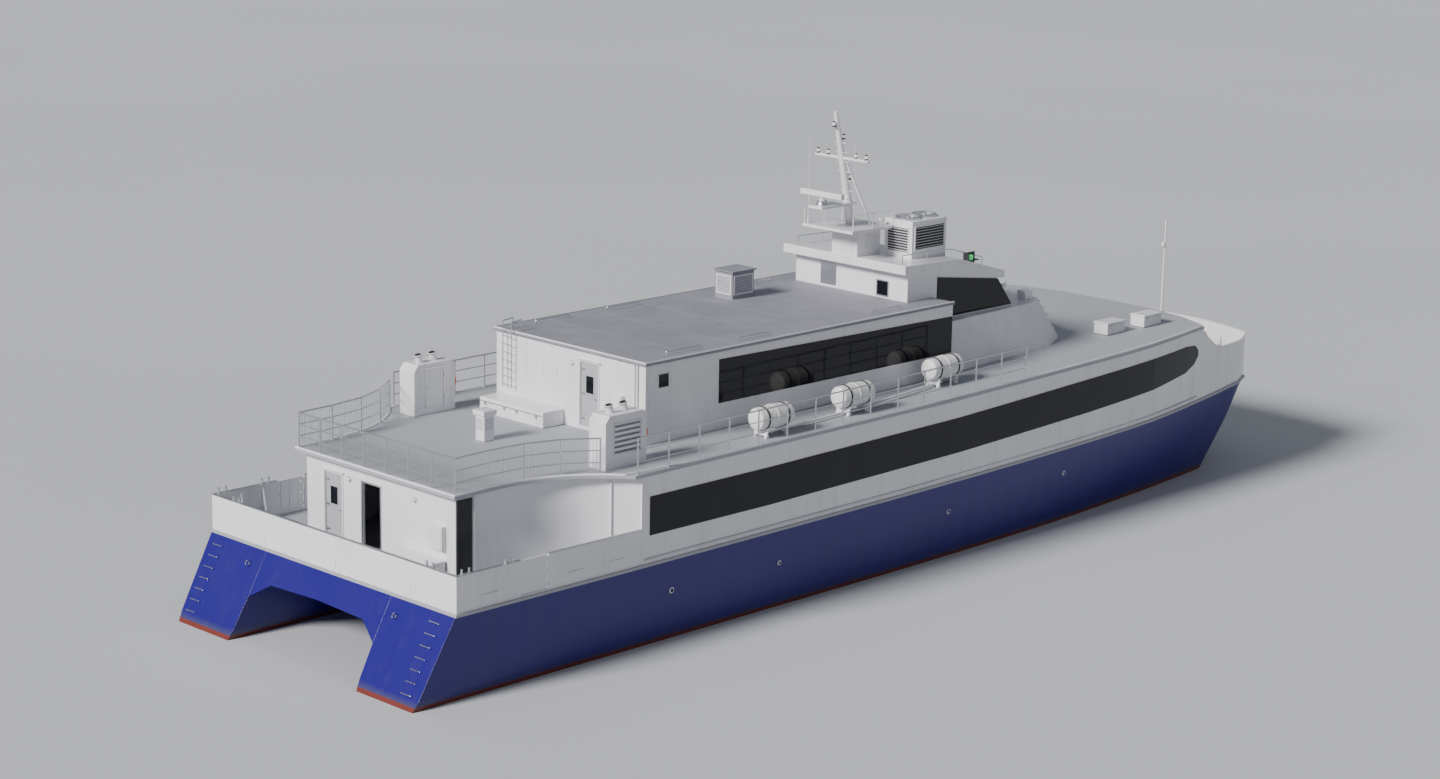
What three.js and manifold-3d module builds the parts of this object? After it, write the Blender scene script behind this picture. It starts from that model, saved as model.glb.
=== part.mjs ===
// A passenger ferry: an aluminium catamaran of the 40 m class, afloat, driven by two waterjets.
// Millimetres, +X towards the bow, +Y to port, +Z up. Every x below runs forward from the
// deck-edge transom, as a shipwright's does, and the whole group is moved so that the origin
// is amidships, on the centreline, at the waterline.
import * as THREE from 'three';
import { mergeVertices } from 'three/addons/utils/BufferGeometryUtils.js';
import Module from 'manifold-3d';

const wasm = await Module();
wasm.setup();

// Driving dimensions
const GAP = 0.3; // left between pieces that touch
const FAR = 60000; // past the end of anything here
const ROOFLESS = 9000; // above every wall that is cut to its height later
const STERN_FOOT = -1400; // foot of the raked transom
const TRANSOM_TOP = 2500;
const STEM_HEAD = 38050; // where each hull's deck edge ends
const BOW = 38350; // front of the crowned bow on the centreline
const BOW_CORNER_Y = 4250;
const STRAKE = 50; // how far the main deck's edge stands out as a rubbing strake
const AMIDSHIPS = (STERN_FOOT + BOW + STRAKE) / 2;
const HALF_BEAM = 5550;
const HULL_Y = 4150; // centreline of each hull
const WALL = 80; // a cabin wall, lining included
const GLASS = 14; // bonded window strip, proud of its wall
const DECK_PLATE = 80;
const UPPER_PLATE = 100;
const CABIN_AFT = 6900; // aft wall of the main cabin
const CABIN_SIDE_AFT = 6840; // where its sides begin, at the end of the bulwarks
const FOREDECK_TOP = 3450;

// The hull, station by station, port side. The deck edge, the side at the flare, the outer
// chine, the keel, the inner chine and side, the haunch beside the tunnel and the tunnel's roof.
const STATIONS = [
  { x: STERN_FOOT, edgeY: HALF_BEAM, edgeZ: 2500, sideY: 5440, sideZ: 300, chineY: 5250, chineZ: -560,
    keelZ: -1020, inChineY: 3060, inSideY: 2900, tunnelY: 2850, haunchZ: 1200, roofZ: 1650 },
  { x: 6000, edgeY: HALF_BEAM, edgeZ: 2500, sideY: 5440, sideZ: 300, chineY: 5240, chineZ: -620,
    keelZ: -1200, inChineY: 3060, inSideY: 2900, tunnelY: 2850, haunchZ: 1200, roofZ: 1650 },
  { x: 18000, edgeY: HALF_BEAM, edgeZ: 2560, sideY: 5400, sideZ: 320, chineY: 5160, chineZ: -620,
    keelZ: -1320, inChineY: 3140, inSideY: 2960, tunnelY: 2850, haunchZ: 1200, roofZ: 1650 },
  { x: 26500, edgeY: 5525, edgeZ: 2700, sideY: 5180, sideZ: 360, chineY: 4900, chineZ: -560,
    keelZ: -1320, inChineY: 3400, inSideY: 3180, tunnelY: 2850, haunchZ: 1250, roofZ: 1700 },
  { x: 31000, edgeY: 5430, edgeZ: 2830, sideY: 4820, sideZ: 420, chineY: 4560, chineZ: -500,
    keelZ: -1280, inChineY: 3740, inSideY: 3500, tunnelY: 2900, haunchZ: 1450, roofZ: 1850 },
  { x: 34300, edgeY: 5060, edgeZ: 2960, sideY: 4420, sideZ: 520, chineY: 4290, chineZ: -380,
    keelZ: -1020, inChineY: 4010, inSideY: 3880, tunnelY: 3050, haunchZ: 1750, roofZ: 2080 },
  { x: 35700, edgeY: 4850, edgeZ: 3010, sideY: 4300, sideZ: 900, chineY: 4210, chineZ: 300,
    keelZ: -60, inChineY: 4090, inSideY: 4000, tunnelY: 3150, haunchZ: 1980, roofZ: 2250 },
  { x: 37200, edgeY: 4580, edgeZ: 3060, sideY: 4260, sideZ: 2100, chineY: 4190, chineZ: 1800,
    keelZ: 1640, inChineY: 4110, inSideY: 4040, tunnelY: 3300, haunchZ: 2400, roofZ: 2560 },
  { x: STEM_HEAD, edgeY: BOW_CORNER_Y, edgeZ: 3100, sideY: 4200, sideZ: 2960, chineY: 4170, chineZ: 2930,
    keelZ: 2900, inChineY: 4130, inSideY: 4060, tunnelY: 3450, haunchZ: 2970, roofZ: 2860 },
];
const FAIRED = { from: 18000, step: 1500 }; // where the sides curve, and how close the sections stand

// The upper deck's top along the ship: x, z
const UPPER_DECK = [[-2000, 5010], [1500, 5080], [CABIN_AFT, 5180], [20000, 5240], [30000, 5440],
  [33500, 5550], [39000, 5580]];
// The long dark window strips: x, foot, head
const MAIN_BAND = [[7150, 3330, 4480], [12000, 3330, 4490], [20700, 3450, 4590], [27200, 3670, 4810],
  [31000, 3850, 4940], [33100, 4080, 5010], [33700, 4300, 4960], [33950, 4560, 4760]];
const UPPER_BAND = [[12100, 6000, 7350], [22780, 6000, 7200]];
// How a strip's windows are set out inside it: distance between posts, post width, margin
const MAIN_PANES = { pitch: 1900, post: 140, margin: 110 };
const UPPER_PANES = { pitch: 1800, post: 130, margin: 110 };
// The main cabin's curved front: where it leaves the sides, and how far forward it bows
const FRONT = { corner: 34300, bow: 35400, roundness: 3 };
const FRONT_WINDOWS = { low: 4200, high: 5050, centres: [-3600, -1800, 0, 1800, 3600], half: 780 };
// The aft house: its sides are straight as far as one x, then sweep out to full beam
const AFT_HOUSE = { aft: 1820, halfWidth: 3360, straight: 2900, bend: 5450, eave: 250 };
const GATE = { aft: 2300, front: 3300, top: 3550 };
const DOOR = { width: 800, height: 1950, leaf: 45, sill: 120, clearance: 8 };
const HOUSE_DOOR_Y = 2100;
const SLIDING_DOOR_Y = 350;
const UPPER_DOOR_Y = -900;
const STAIR = { foot: 13200, head: 9900, inner: 1400, outer: 2300, treads: 11, tread: 45 };
const UPPER_CABIN = { aft: 9070, front: 22800, halfWidth: 3310, roofTop: 7680, roofPlate: 90 };
// The wheelhouse's plan is given at the head of its windows; below that the screen leans forward
const WHEELHOUSE = { aft: 21500, corner: 26000, front: 26900, halfWidth: 2470, sill: 6950, head: 7950,
  rake: 0.8, glassAft: 22950 };
// The wheelhouse roof, falling towards the bow: x, z
const EAVES = [[21100, 8650], [27400, 7785]];
const ROOF_TOP = [[21100, 8950], [23800, 8870], [25600, 8350], [27400, 7880]];
const CASING = { aft: 6300, front: 7900, inner: 3900, outer: 4600, top: 6750 };
const RADAR = { x: 20020, z: 10980, half: 900 };
// The liferaft canisters on each side: x, y
const RAFTS = [[12800, 4850], [16650, 4620], [21500, 4060]];
const RAFT = { radius: 370, half: 740, axis: 580 };

// A waterjet: x from the deck-edge transom, radii from the shaft line
const JET = { z: -520, flange: 600, flangeRadius: 450, pivot: -150, bucketPivot: -430, nozzleEnd: -640,
  bucketRadius: 352, cheek: 300 };
const JET_BAY = { front: 600, halfWidth: 640, roof: -20 };

const SIDES = [['port', 1], ['starboard', -1]];
const BOTH = [-1, 1];

// Plain geometry helpers
const mix = (a, b, t) => a + (b - a) * t;
const mirrored = (points) => points.map(([x, y]) => [x, -y]).reverse();
const steps = (count, make) => Array.from({ length: count }, (_, i) => make(i));

/** The second column of a table at a value of its first, straight between rows. */
function along(table, x) {
  const i = Math.max(1, table.findIndex((row, k) => row[0] >= x || k === table.length - 1));
  const [[x0, z0], [x1, z1]] = [table[i - 1], table[i]];
  return mix(z0, z1, (x - x0) / (x1 - x0));
}

/** The hull's sections: the stations, with faired ones between them where the sides curve. */
function fairedSections() {
  const columns = Object.keys(STATIONS[0]);
  const fair = new THREE.CubicInterpolant(
    STATIONS.map((station) => station.x),
    STATIONS.flatMap((station) => columns.map((name) => station[name])),
    columns.length,
  );
  const places = STATIONS.slice(1).flatMap(({ x }, i) => {
    const from = STATIONS[i].x;
    const count = from < FAIRED.from ? 1 : Math.ceil((x - from) / FAIRED.step);
    return steps(count, (k) => mix(from, x, k / count));
  });
  return [...places, STEM_HEAD].map((place) => {
    const values = Array.from(fair.evaluate(place));
    return Object.fromEntries(columns.map((name, i) => [name, values[i]]));
  });
}
const SECTIONS = fairedSections();

/** A column of the sections at any x. */
const hullAt = (x, column) => along(SECTIONS.map((s) => [s.x, s[column]]), x);
const deckZ = (x) => hullAt(x, 'edgeZ');
const upperZ = (x) => along(UPPER_DECK, x);

/** A three.js geometry with only its positions, shared corners merged. */
function welded(geometry) {
  const bare = geometry.clone();
  for (const name of Object.keys(bare.attributes)) {
    if (name !== 'position') bare.deleteAttribute(name);
  }
  return mergeVertices(bare, 1e-3);
}
/** A closed three.js geometry as a solid, turned right side out where it was inside out. */
function solidOf(geometry) {
  const skin = welded(geometry);
  const index = Uint32Array.from(skin.index.array);
  const build = () => new wasm.Manifold(new wasm.Mesh({
    numProp: 3,
    vertProperties: new Float32Array(skin.attributes.position.array),
    triVerts: index,
  }));
  const solid = build();
  if (solid.volume() > 0) return solid;
  for (let i = 0; i < index.length; i += 3) [index[i], index[i + 1]] = [index[i + 1], index[i]];
  return build();
}

const joined = (...solids) => solids.flat().reduce((a, b) => a.add(b));
const cut = (solid, ...tools) => tools.flat().reduce((a, b) => a.subtract(b), solid);
const common = (...solids) => solids.reduce((a, b) => a.intersect(b));

/** An outline of pairs extruded to a depth. */
function extruded(points, depth) {
  const shape = new THREE.Shape(points.map(([a, b]) => new THREE.Vector2(a, b)));
  return new THREE.ExtrudeGeometry(shape, { depth, bevelEnabled: false });
}
/** A box between two corners, given in any order. */
function block(x0, x1, y0, y1, z0, z1) {
  const geometry = new THREE.BoxGeometry(Math.abs(x1 - x0), Math.abs(y1 - y0), Math.abs(z1 - z0));
  return solidOf(geometry.translate((x0 + x1) / 2, (y0 + y1) / 2, (z0 + z1) / 2));
}
/** A plan outline of [x, y] points raised from z0 to z1. */
const planSolid = (points, z0 = 0, z1 = ROOFLESS) => solidOf(extruded(points, z1 - z0).translate(0, 0, z0));
/** A side profile of [x, z] points run across from y0 to y1. */
function sideSolid(points, y0 = -FAR, y1 = FAR) {
  return solidOf(extruded(points, y1 - y0).rotateX(Math.PI / 2).translate(0, y1, 0));
}
/** A straight round bar from one point to another, tapering to its tip. */
function bar(from, to, radius, tip = radius, sides = 8) {
  const [a, b] = [new THREE.Vector3(...from), new THREE.Vector3(...to)];
  const geometry = new THREE.CylinderGeometry(tip, radius, a.distanceTo(b), sides);
  const heading = b.clone().sub(a).normalize();
  geometry.applyQuaternion(new THREE.Quaternion().setFromUnitVectors(new THREE.Vector3(0, 1, 0), heading));
  const middle = a.add(b).multiplyScalar(0.5);
  return solidOf(geometry.translate(middle.x, middle.y, middle.z));
}
/** An upright round post. */
const post = (x, y, z0, z1, radius, sides = 8) => bar([x, y, z0], [x, y, z1], radius, radius, sides);
/** A body of revolution about the fore-and-aft line through (y, z); profile holds [x, radius]. */
function turned(profile, y, z, sides = 20) {
  const points = profile.map(([x, r]) => new THREE.Vector2(r, x));
  return solidOf(new THREE.LatheGeometry(points, sides).rotateZ(-Math.PI / 2).translate(0, y, z));
}
/** A solid skinned over flat loops of points [a, b, c], each loop at its own a. */
function lofted(loops, place = (point) => point) {
  const flat = (loop) => loop.map(([, b, c]) => new THREE.Vector2(b, c));
  const rings = THREE.ShapeUtils.area(flat(loops[0])) > 0 ? loops : loops.map((loop) => loop.slice().reverse());
  const n = rings[0].length;
  const index = [];
  for (let s = 0; s + 1 < rings.length; s++) {
    for (let i = 0; i < n; i++) {
      const [a, b] = [s * n + i, s * n + ((i + 1) % n)];
      index.push(a, b, a + n, b, b + n, a + n);
    }
  }
  const cap = (ring, base, forward) => {
    const face = flat(ring);
    for (const [a, b, c] of THREE.ShapeUtils.triangulateShape(face, [])) {
      const turn = face[b].clone().sub(face[a]).cross(face[c].clone().sub(face[a]));
      index.push(base + a, ...((turn > 0) === forward ? [base + b, base + c] : [base + c, base + b]));
    }
  };
  cap(rings[0], 0, false);
  cap(rings.at(-1), (rings.length - 1) * n, true);
  const geometry = new THREE.BufferGeometry();
  geometry.setAttribute('position', new THREE.Float32BufferAttribute(rings.flat().flatMap(place), 3));
  geometry.setIndex(index);
  return solidOf(geometry);
}
/** A solid skinned over plan outlines, each at its own height: [z, points]. */
function stacked(...levels) {
  return lofted(levels.map(([z, points]) => points.map(([x, y]) => [z, x, y])), ([z, x, y]) => [x, y, z]);
}
/** A line of [x, y] points moved to its right, with mitred corners. */
function offset(points, distance, closed = false) {
  const path = closed ? [...points, points[0]] : points;
  const normals = path.slice(1).map(([x, y], i) => {
    const [dx, dy] = [x - path[i][0], y - path[i][1]];
    const length = Math.hypot(dx, dy);
    return [dy / length, -dx / length];
  });
  return points.map(([x, y], i) => {
    const before = closed ? normals.at(i - 1) : normals[Math.max(0, i - 1)];
    const after = normals[Math.min(normals.length - 1, i)];
    const reach = distance / (1 + before[0] * after[0] + before[1] * after[1]);
    return [x + (before[0] + after[0]) * reach, y + (before[1] + after[1]) * reach];
  });
}
/** The port solid for side 1 and its mirror image for side -1. */
const handed = (solid, side) => (side > 0 ? solid : solid.mirror([0, 1, 0]));

// Finishes
const finish = (color, roughness, metalness = 0) => (
  new THREE.MeshStandardMaterial({ color, roughness, metalness }));
const HULL_BLUE = finish(0x1d1a86, 0.35);
const WHITE = finish(0xf1f1f4, 0.4);
const DECK_GREY = finish(0xa9acb4, 0.8);
const DARK_GLASS = finish(0x10121a, 0.08);
const STEEL = finish(0xb6b9bd, 0.35, 0.9);
const BRONZE = finish(0x8f7348, 0.4, 0.8);
const DARK = finish(0x24262b, 0.6);
const SEAT = finish(0x2f4673, 0.85);

const ship = new THREE.Group();
ship.position.x = -AMIDSHIPS;

/** Adds one piece to the ship under its own name. */
function add(name, solid, material) {
  const made = solid.getMesh();
  const geometry = new THREE.BufferGeometry();
  geometry.setAttribute('position', new THREE.Float32BufferAttribute(made.vertProperties, 3));
  geometry.setIndex(new THREE.Uint32BufferAttribute(made.triVerts, 1));
  geometry.computeVertexNormals();
  const mesh = new THREE.Mesh(geometry, material);
  mesh.name = name;
  ship.add(mesh);
}

// Outlines and cutters that several pieces share
/** The port deck edge from x0 to x1, moved inboard. */
function edgeLine(x0, x1, inset = 0) {
  const xs = [x0, ...SECTIONS.map((s) => s.x).filter((x) => x > x0 && x < x1), x1];
  return xs.map((x) => [x, hullAt(x, 'edgeY') - inset]);
}
/** The deck's whole outline forward of an x, round the crowned bow, moved inboard. */
function foreOutline(x0, inset = 0) {
  const side = edgeLine(x0, STEM_HEAD - 400, inset);
  const half = BOW_CORNER_Y - inset;
  const depth = BOW - STEM_HEAD + 50;
  const crown = steps(9, (i) => {
    const across = (4 - i) / 4;
    return [BOW - inset - depth * across ** 2, half * across];
  });
  return [...side, ...crown, ...mirrored(side)];
}
/** The main cabin's outer line, from one aft end round the bowed front to the other. */
function cabinLine(x0 = CABIN_SIDE_AFT) {
  const side = edgeLine(x0, FRONT.corner - 200);
  const half = hullAt(FRONT.corner, 'edgeY');
  const front = steps(9, (i) => {
    const across = Math.sin(((4 - i) / 4) * (Math.PI / 2));
    const back = (FRONT.bow - FRONT.corner) * Math.abs(across) ** FRONT.roundness;
    return [FRONT.bow - back, half * across];
  });
  return [...side, ...front, ...mirrored(side)];
}
/** The aft house's outer line, from full beam to starboard, across the aft wall, to full beam to port. */
function houseLine(facets = 7) {
  const { aft, halfWidth, straight, bend } = AFT_HOUSE;
  const corners = [[straight, halfWidth], [bend, halfWidth], [CABIN_AFT, HALF_BEAM]];
  const sweep = new THREE.QuadraticBezierCurve(...corners.map(([x, y]) => new THREE.Vector2(x, y)));
  const port = [[aft, halfWidth], ...sweep.getPoints(facets).map(({ x, y }) => [x, y])];
  return [...mirrored(port), ...port];
}
/** Everything forward of a line that runs from starboard to port. */
const aheadOf = (line) => planSolid([[FAR, -FAR], ...line, [FAR, FAR]]);

/** A wall that follows a line round the bow, open at its aft ends. */
function wallAlong(line, inset, thickness) {
  const inner = offset(line, inset + thickness);
  const aftEnd = ([x, y]) => [x - 1000, y];
  const hollow = planSolid([aftEnd(inner[0]), ...inner, aftEnd(inner.at(-1))], -10);
  return cut(planSolid(offset(line, inset)), hollow);
}
/** The band between two heights over a table of x, z. */
function over(table, low, high) {
  return sideSolid([...table.map(([x, z]) => [x, z + low]), ...table.map(([x, z]) => [x, z + high]).reverse()]);
}
const DECK_EDGE = [...SECTIONS.map((s) => [s.x, s.edgeZ]), [FAR, SECTIONS.at(-1).edgeZ]];
const overDeck = (low, high) => over(DECK_EDGE, low, high);
const overUpper = (low, high) => over(UPPER_DECK, low, high);
/** Everything between the main deck and the upper deck's underside. */
const betweenDecks = () => common(overDeck(GAP, FAR), over(UPPER_DECK, -FAR, -UPPER_PLATE - GAP));
/** Everything aft of the raked transom. */
const behindTransom = () => sideSolid([
  [-FAR, -FAR], [STERN_FOOT, -FAR], [STERN_FOOT, 0], [0, TRANSOM_TOP], [0, FAR], [-FAR, FAR],
]);

/** A window strip's outline, drawn in by a margin. */
function bandOutline(band, margin = 0) {
  const thinnest = 2 * margin + 100;
  const rows = band.filter(([, low, high]) => high - low > thinnest);
  const shift = (i) => (i === 0 ? margin : 0) - (i === rows.length - 1 ? margin : 0);
  const foot = rows.map(([x, low], i) => [x + shift(i), low + margin]);
  const head = rows.map(([x, , high], i) => [x + shift(i), high - margin]);
  return [...foot, ...head.reverse()];
}
/** The windows along a strip, with posts left between them. */
function windowCuts(band, panes) {
  const [start, end] = [band[0][0], band.at(-1)[0]];
  const count = Math.round((end - start) / panes.pitch);
  const posts = steps(count - 1, (i) => {
    const x = mix(start, end, (i + 1) / count);
    return block(x - panes.post / 2, x + panes.post / 2, -FAR, FAR, 0, ROOFLESS);
  });
  return cut(sideSolid(bandOutline(band, panes.margin)), ...posts);
}
/** The opening for a door in a wall that stands across the ship on a floor at z. */
function doorway(x, y, z) {
  const foot = z + DOOR.sill;
  return block(x - 500, x + 500, y - DOOR.width / 2, y + DOOR.width / 2, foot, foot + DOOR.height);
}
/** A hinged door leaf in that opening, with its hinge post to port and a handle to starboard. */
function doorLeaf(x, y, z) {
  const half = DOOR.width / 2 - DOOR.clearance;
  const low = z + DOOR.sill + DOOR.clearance;
  const high = z + DOOR.sill + DOOR.height - DOOR.clearance;
  const [hingeY, handleY, handleZ] = [y + half - 26, y - 300, low + 880];
  const leaf = block(x, x + DOOR.leaf, y - half, y + half, low, high);
  const handle = block(x - 50, x + 10, handleY - 60, handleY + 60, handleZ, handleZ + 35);
  return joined(leaf, post(x + 10, hingeY, low, high, 26), handle);
}

/** One hull: chined, flared forward, with a bay at its foot for the waterjet. */
function makeHull(name, side) {
  const loops = SECTIONS.map((s) => {
    const top = s.edgeZ - DECK_PLATE - GAP;
    return [[s.edgeY, top], [s.sideY, s.sideZ], [s.chineY, s.chineZ], [HULL_Y, s.keelZ], [s.inChineY, s.chineZ],
      [s.inSideY, s.sideZ], [s.tunnelY, s.haunchZ], [s.tunnelY, top]].map(([y, z]) => [s.x, y, z]);
  });
  const { front, halfWidth, roof } = JET_BAY;
  const bay = block(-FAR, front, HULL_Y - halfWidth, HULL_Y + halfWidth, -FAR, roof);
  add(`hull_${name}`, handed(cut(lofted(loops), behindTransom(), bay), side), HULL_BLUE);
}

/** The bridging structure between the hulls, arched underneath, with the crowned bow. */
function makeBridge() {
  const [haunch, camber] = [750, 60];
  const loops = [...SECTIONS, { ...SECTIONS.at(-1), x: BOW + 100 }].map((s) => {
    const edge = s.tunnelY - GAP;
    const top = s.edgeZ - DECK_PLATE - GAP;
    const port = [[edge, top], [edge, s.haunchZ], [edge - haunch, s.roofZ]];
    const starboard = port.map(([y, z]) => [-y, z]).reverse();
    return [...port, [0, s.roofZ + camber], ...starboard].map(([y, z]) => [s.x, y, z]);
  });
  const plan = planSolid(foreOutline(STERN_FOOT - 100), -FAR, FAR);
  add('bridge_structure', common(cut(lofted(loops), behindTransom()), plan), HULL_BLUE);
}

/** A pair of mooring posts on a base plate. */
function bollards(x, y, z) {
  const posts = BOTH.map((s) => post(x + s * 220, y, z, z + 420, 85, 10));
  return joined(block(x - 420, x + 420, y - 150, y + 150, z - 20, z + 40), ...posts);
}

/** The main deck from the transom to the crowned bow, its edge proud as a rubbing strake. */
function makeMainDeck() {
  const plate = common(planSolid(foreOutline(-STRAKE, -STRAKE)), overDeck(-DECK_PLATE, 0));
  const posts = BOTH.map((s) => bollards(900, s * 4750, TRANSOM_TOP));
  add('main_deck', joined(plate, ...posts), DECK_GREY);
}

/** The raised foredeck inside the bow bulwark, with its mooring posts. */
function makeForedeck() {
  const plan = planSolid(foreOutline(FRONT.corner, WALL + GAP), 0, FOREDECK_TOP);
  const posts = BOTH.map((s) => bollards(36400, s * 3900, FOREDECK_TOP));
  const plate = cut(common(plan, overDeck(GAP, FAR)), planSolid(offset(cabinLine(), -GAP)));
  add('foredeck', joined(plate, ...posts), DECK_GREY);
}

/** The bulwark round the aft deck, with a gateway in each side. */
function makeAftBulwark() {
  const outline = (x0, x1, inset) => [...edgeLine(x0, x1, inset), ...mirrored(edgeLine(x0, x1, inset))];
  const outer = planSolid(outline(0, CABIN_SIDE_AFT - GAP, 0), 0, GATE.top);
  const inner = planSolid(outline(WALL, CABIN_SIDE_AFT + WALL, WALL), -10);
  const gateways = block(GATE.aft - 8, GATE.front + 8, -FAR, FAR, TRANSOM_TOP + 60, FAR);
  add('aft_bulwark', common(cut(outer, inner, gateways), overDeck(GAP, FAR)), WHITE);
}
/** A gate in the side of the bulwark, hinged on a post at its forward end. */
function makeGate(name, side) {
  const y = HALF_BEAM - WALL / 2;
  const [low, high] = [TRANSOM_TOP + 72, GATE.top - 4];
  const leaf = block(GATE.aft, GATE.front - 12, y - 22, y + 22, low, high);
  add(`gate_${name}`, handed(joined(leaf, post(GATE.front - 30, y, low, high, 28)), side), WHITE);
}
/** The bulwark round the foredeck, sweeping down from the cabin's corners. */
function makeBowBulwark() {
  const inner = planSolid(foreOutline(FRONT.corner - 500, WALL), -10);
  const ring = cut(planSolid(foreOutline(FRONT.corner + GAP)), inner);
  const top = sideSolid([[34000, 0], [FAR, 0], [FAR, 4820], [BOW - 100, 4800], [37600, 4560], [35900, 4560],
    [35200, 4760], [34000, 5550]]);
  const cabin = planSolid(offset(cabinLine(), -GAP));
  add('bow_bulwark', cut(common(ring, top, overDeck(GAP, FAR)), cabin), WHITE);
}

/** The main cabin's sides and curved front with their windows, and the dark strips bonded over them. */
function makeMainCabin() {
  const wall = common(wallAlong(cabinLine(), 0, WALL), betweenDecks());
  const skin = wallAlong(cabinLine(), -GAP - GLASS, GLASS);
  const windows = windowCuts(MAIN_BAND, MAIN_PANES);
  for (const [name, side] of SIDES) {
    const half = block(0, FRONT.corner, 0, side * FAR, 0, FAR);
    add(`main_cabin_side_${name}`, common(cut(wall, windows), half), WHITE);
    add(`main_window_strip_${name}`, common(skin, sideSolid(bandOutline(MAIN_BAND)), half), DARK_GLASS);
  }
  const { low, high, centres, half } = FRONT_WINDOWS;
  const panes = centres.map((y) => block(FRONT.corner, FAR, y - half, y + half, low + 60, high - 60));
  const ahead = (x, z0, z1) => block(x, FAR, -FAR, FAR, z0, z1);
  add('main_cabin_front_wall', common(cut(wall, ...panes), ahead(FRONT.corner + GAP, 0, FAR)), WHITE);
  add('front_window_strip', common(skin, ahead(FRONT.corner + 200, low, high)), DARK_GLASS);
}
/** The bulkhead between the aft house and the main cabin, with its wide doorway. */
function makeCabinBulkhead() {
  const half = HALF_BEAM - WALL - GAP;
  const wall = block(CABIN_AFT, CABIN_AFT + WALL, -half, half, 0, ROOFLESS);
  const opening = block(CABIN_AFT - 500, CABIN_AFT + 500, -900, 900, 0, TRANSOM_TOP + 2150);
  add('main_cabin_bulkhead', common(cut(wall, opening), betweenDecks()), WHITE);
}

/** The upper deck in three blocks, as eaves over the aft house and full beam over the main cabin. */
function makeUpperDeck() {
  const plan = common(aheadOf(offset(houseLine(), -AFT_HOUSE.eave)), planSolid(cabinLine(0)));
  const plate = common(plan, overUpper(-UPPER_PLATE, 0));
  const { foot, head, inner, outer } = STAIR;
  const well = block(head - 10, foot - 300, inner - 10, outer + 10, 0, ROOFLESS);
  const [aftSeam, foreSeam] = [head - 500, foot + 200];
  const between = (x0, x1) => block(x0, x1, -FAR, FAR, 0, ROOFLESS);
  add('upper_deck_aft', common(plate, between(0, aftSeam - GAP)), DECK_GREY);
  add('upper_deck_landing', cut(common(plate, between(aftSeam, foreSeam)), well), DECK_GREY);
  add('upper_deck', common(plate, between(foreSeam + GAP, FAR)), DECK_GREY);
}

/** The aft house: its walls in one sweep, with a hinged door and a sliding door in the aft wall. */
function makeAftHouse() {
  const { aft } = AFT_HOUSE;
  const shell = cut(aheadOf(houseLine()), aheadOf(offset(houseLine(), WALL)));
  const half = HALF_BEAM - WALL - GAP;
  const within = block(0, CABIN_AFT - GAP, -half, half, 0, ROOFLESS);
  const doorways = [HOUSE_DOOR_Y, SLIDING_DOOR_Y].map((y) => doorway(aft, y, TRANSOM_TOP));
  add('aft_house_walls', common(cut(shell, ...doorways), within, betweenDecks()), WHITE);
  add('aft_house_door', doorLeaf(aft + 20, HOUSE_DOOR_Y, TRANSOM_TOP), DECK_GREY);
  const foot = TRANSOM_TOP + DOOR.sill + DOOR.clearance;
  const y = SLIDING_DOOR_Y - DOOR.width - 40; // drawn open, to starboard of its doorway
  const reach = DOOR.width / 2 + 20;
  const inside = aft + WALL + 12;
  const slider = block(inside, inside + 40, y - reach, y + reach, foot, foot + DOOR.height + 30);
  add('sliding_door', slider, DECK_GREY);
}

/** The stairs from the main cabin up to the upper cabin, stringers and treads in one. */
function makeStairs() {
  const { foot, head, inner, outer, treads, tread } = STAIR;
  const [low, high] = [deckZ(foot) + GAP, upperZ(head)];
  const rise = (high - low) / (treads + 1);
  const going = (foot - head) / treads;
  const boards = steps(treads, (i) => {
    const [x, z] = [foot - i * going, low + (i + 1) * rise];
    return block(x - going - 30, x, inner, outer, z - tread, z);
  });
  const lip = 20; // how far the stringers stand above the nosings
  const topEdge = (x) => [x, low + rise * (1 + (foot - x) / going) + lip];
  const profile = [[foot + 60, low], [foot - 240, low], [head, high - 420], [head, high - 5],
    topEdge(head + 40), topEdge(foot + 60)];
  const stringers = [inner, outer - 40].map((y) => sideSolid(profile, y, y + 40));
  add('stairs', joined(...boards, ...stringers), DECK_GREY);
}

/** An exhaust casing on the upper deck, louvred outboard, with its pipe ends. */
function makeCasing(name, side) {
  const { aft, front, inner, outer, top } = CASING;
  const body = sideSolid([[aft, 0], [front, 0], [front, top - 120], [front - 120, top], [aft + 160, top],
    [aft, top - 200]], inner, outer);
  const louvres = steps(6, (i) => {
    const z = upperZ(aft) + 460 + i * 150;
    return block(aft + 350, front - 250, outer - 40, outer + 60, z, z + 70);
  });
  const middle = (inner + outer) / 2;
  const pipes = [500, 1050].map((dx) => {
    const x = aft + dx;
    return bar([x, middle, top - 50], [x - 80, middle, top + 240], 115, 115, 12);
  });
  const casing = joined(common(cut(body, ...louvres), overUpper(GAP, FAR)), ...pipes);
  add(`exhaust_casing_${name}`, handed(casing, side), WHITE);
}

/** A locker along the upper cabin's aft wall, and a capped ventilator trunk further aft. */
function makeDeckGear() {
  const locker = block(8200, UPPER_CABIN.aft - GAP, 200, 3100, 0, 5680);
  add('aft_locker', common(locker, overUpper(GAP, FAR)), WHITE);
  const trunk = block(5900, 6300, 200, 600, 0, 5960);
  const cap = block(5840, 6360, 140, 660, 5940, 6100);
  add('deck_ventilator', joined(common(trunk, overUpper(GAP, FAR)), cap), WHITE);
}

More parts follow.
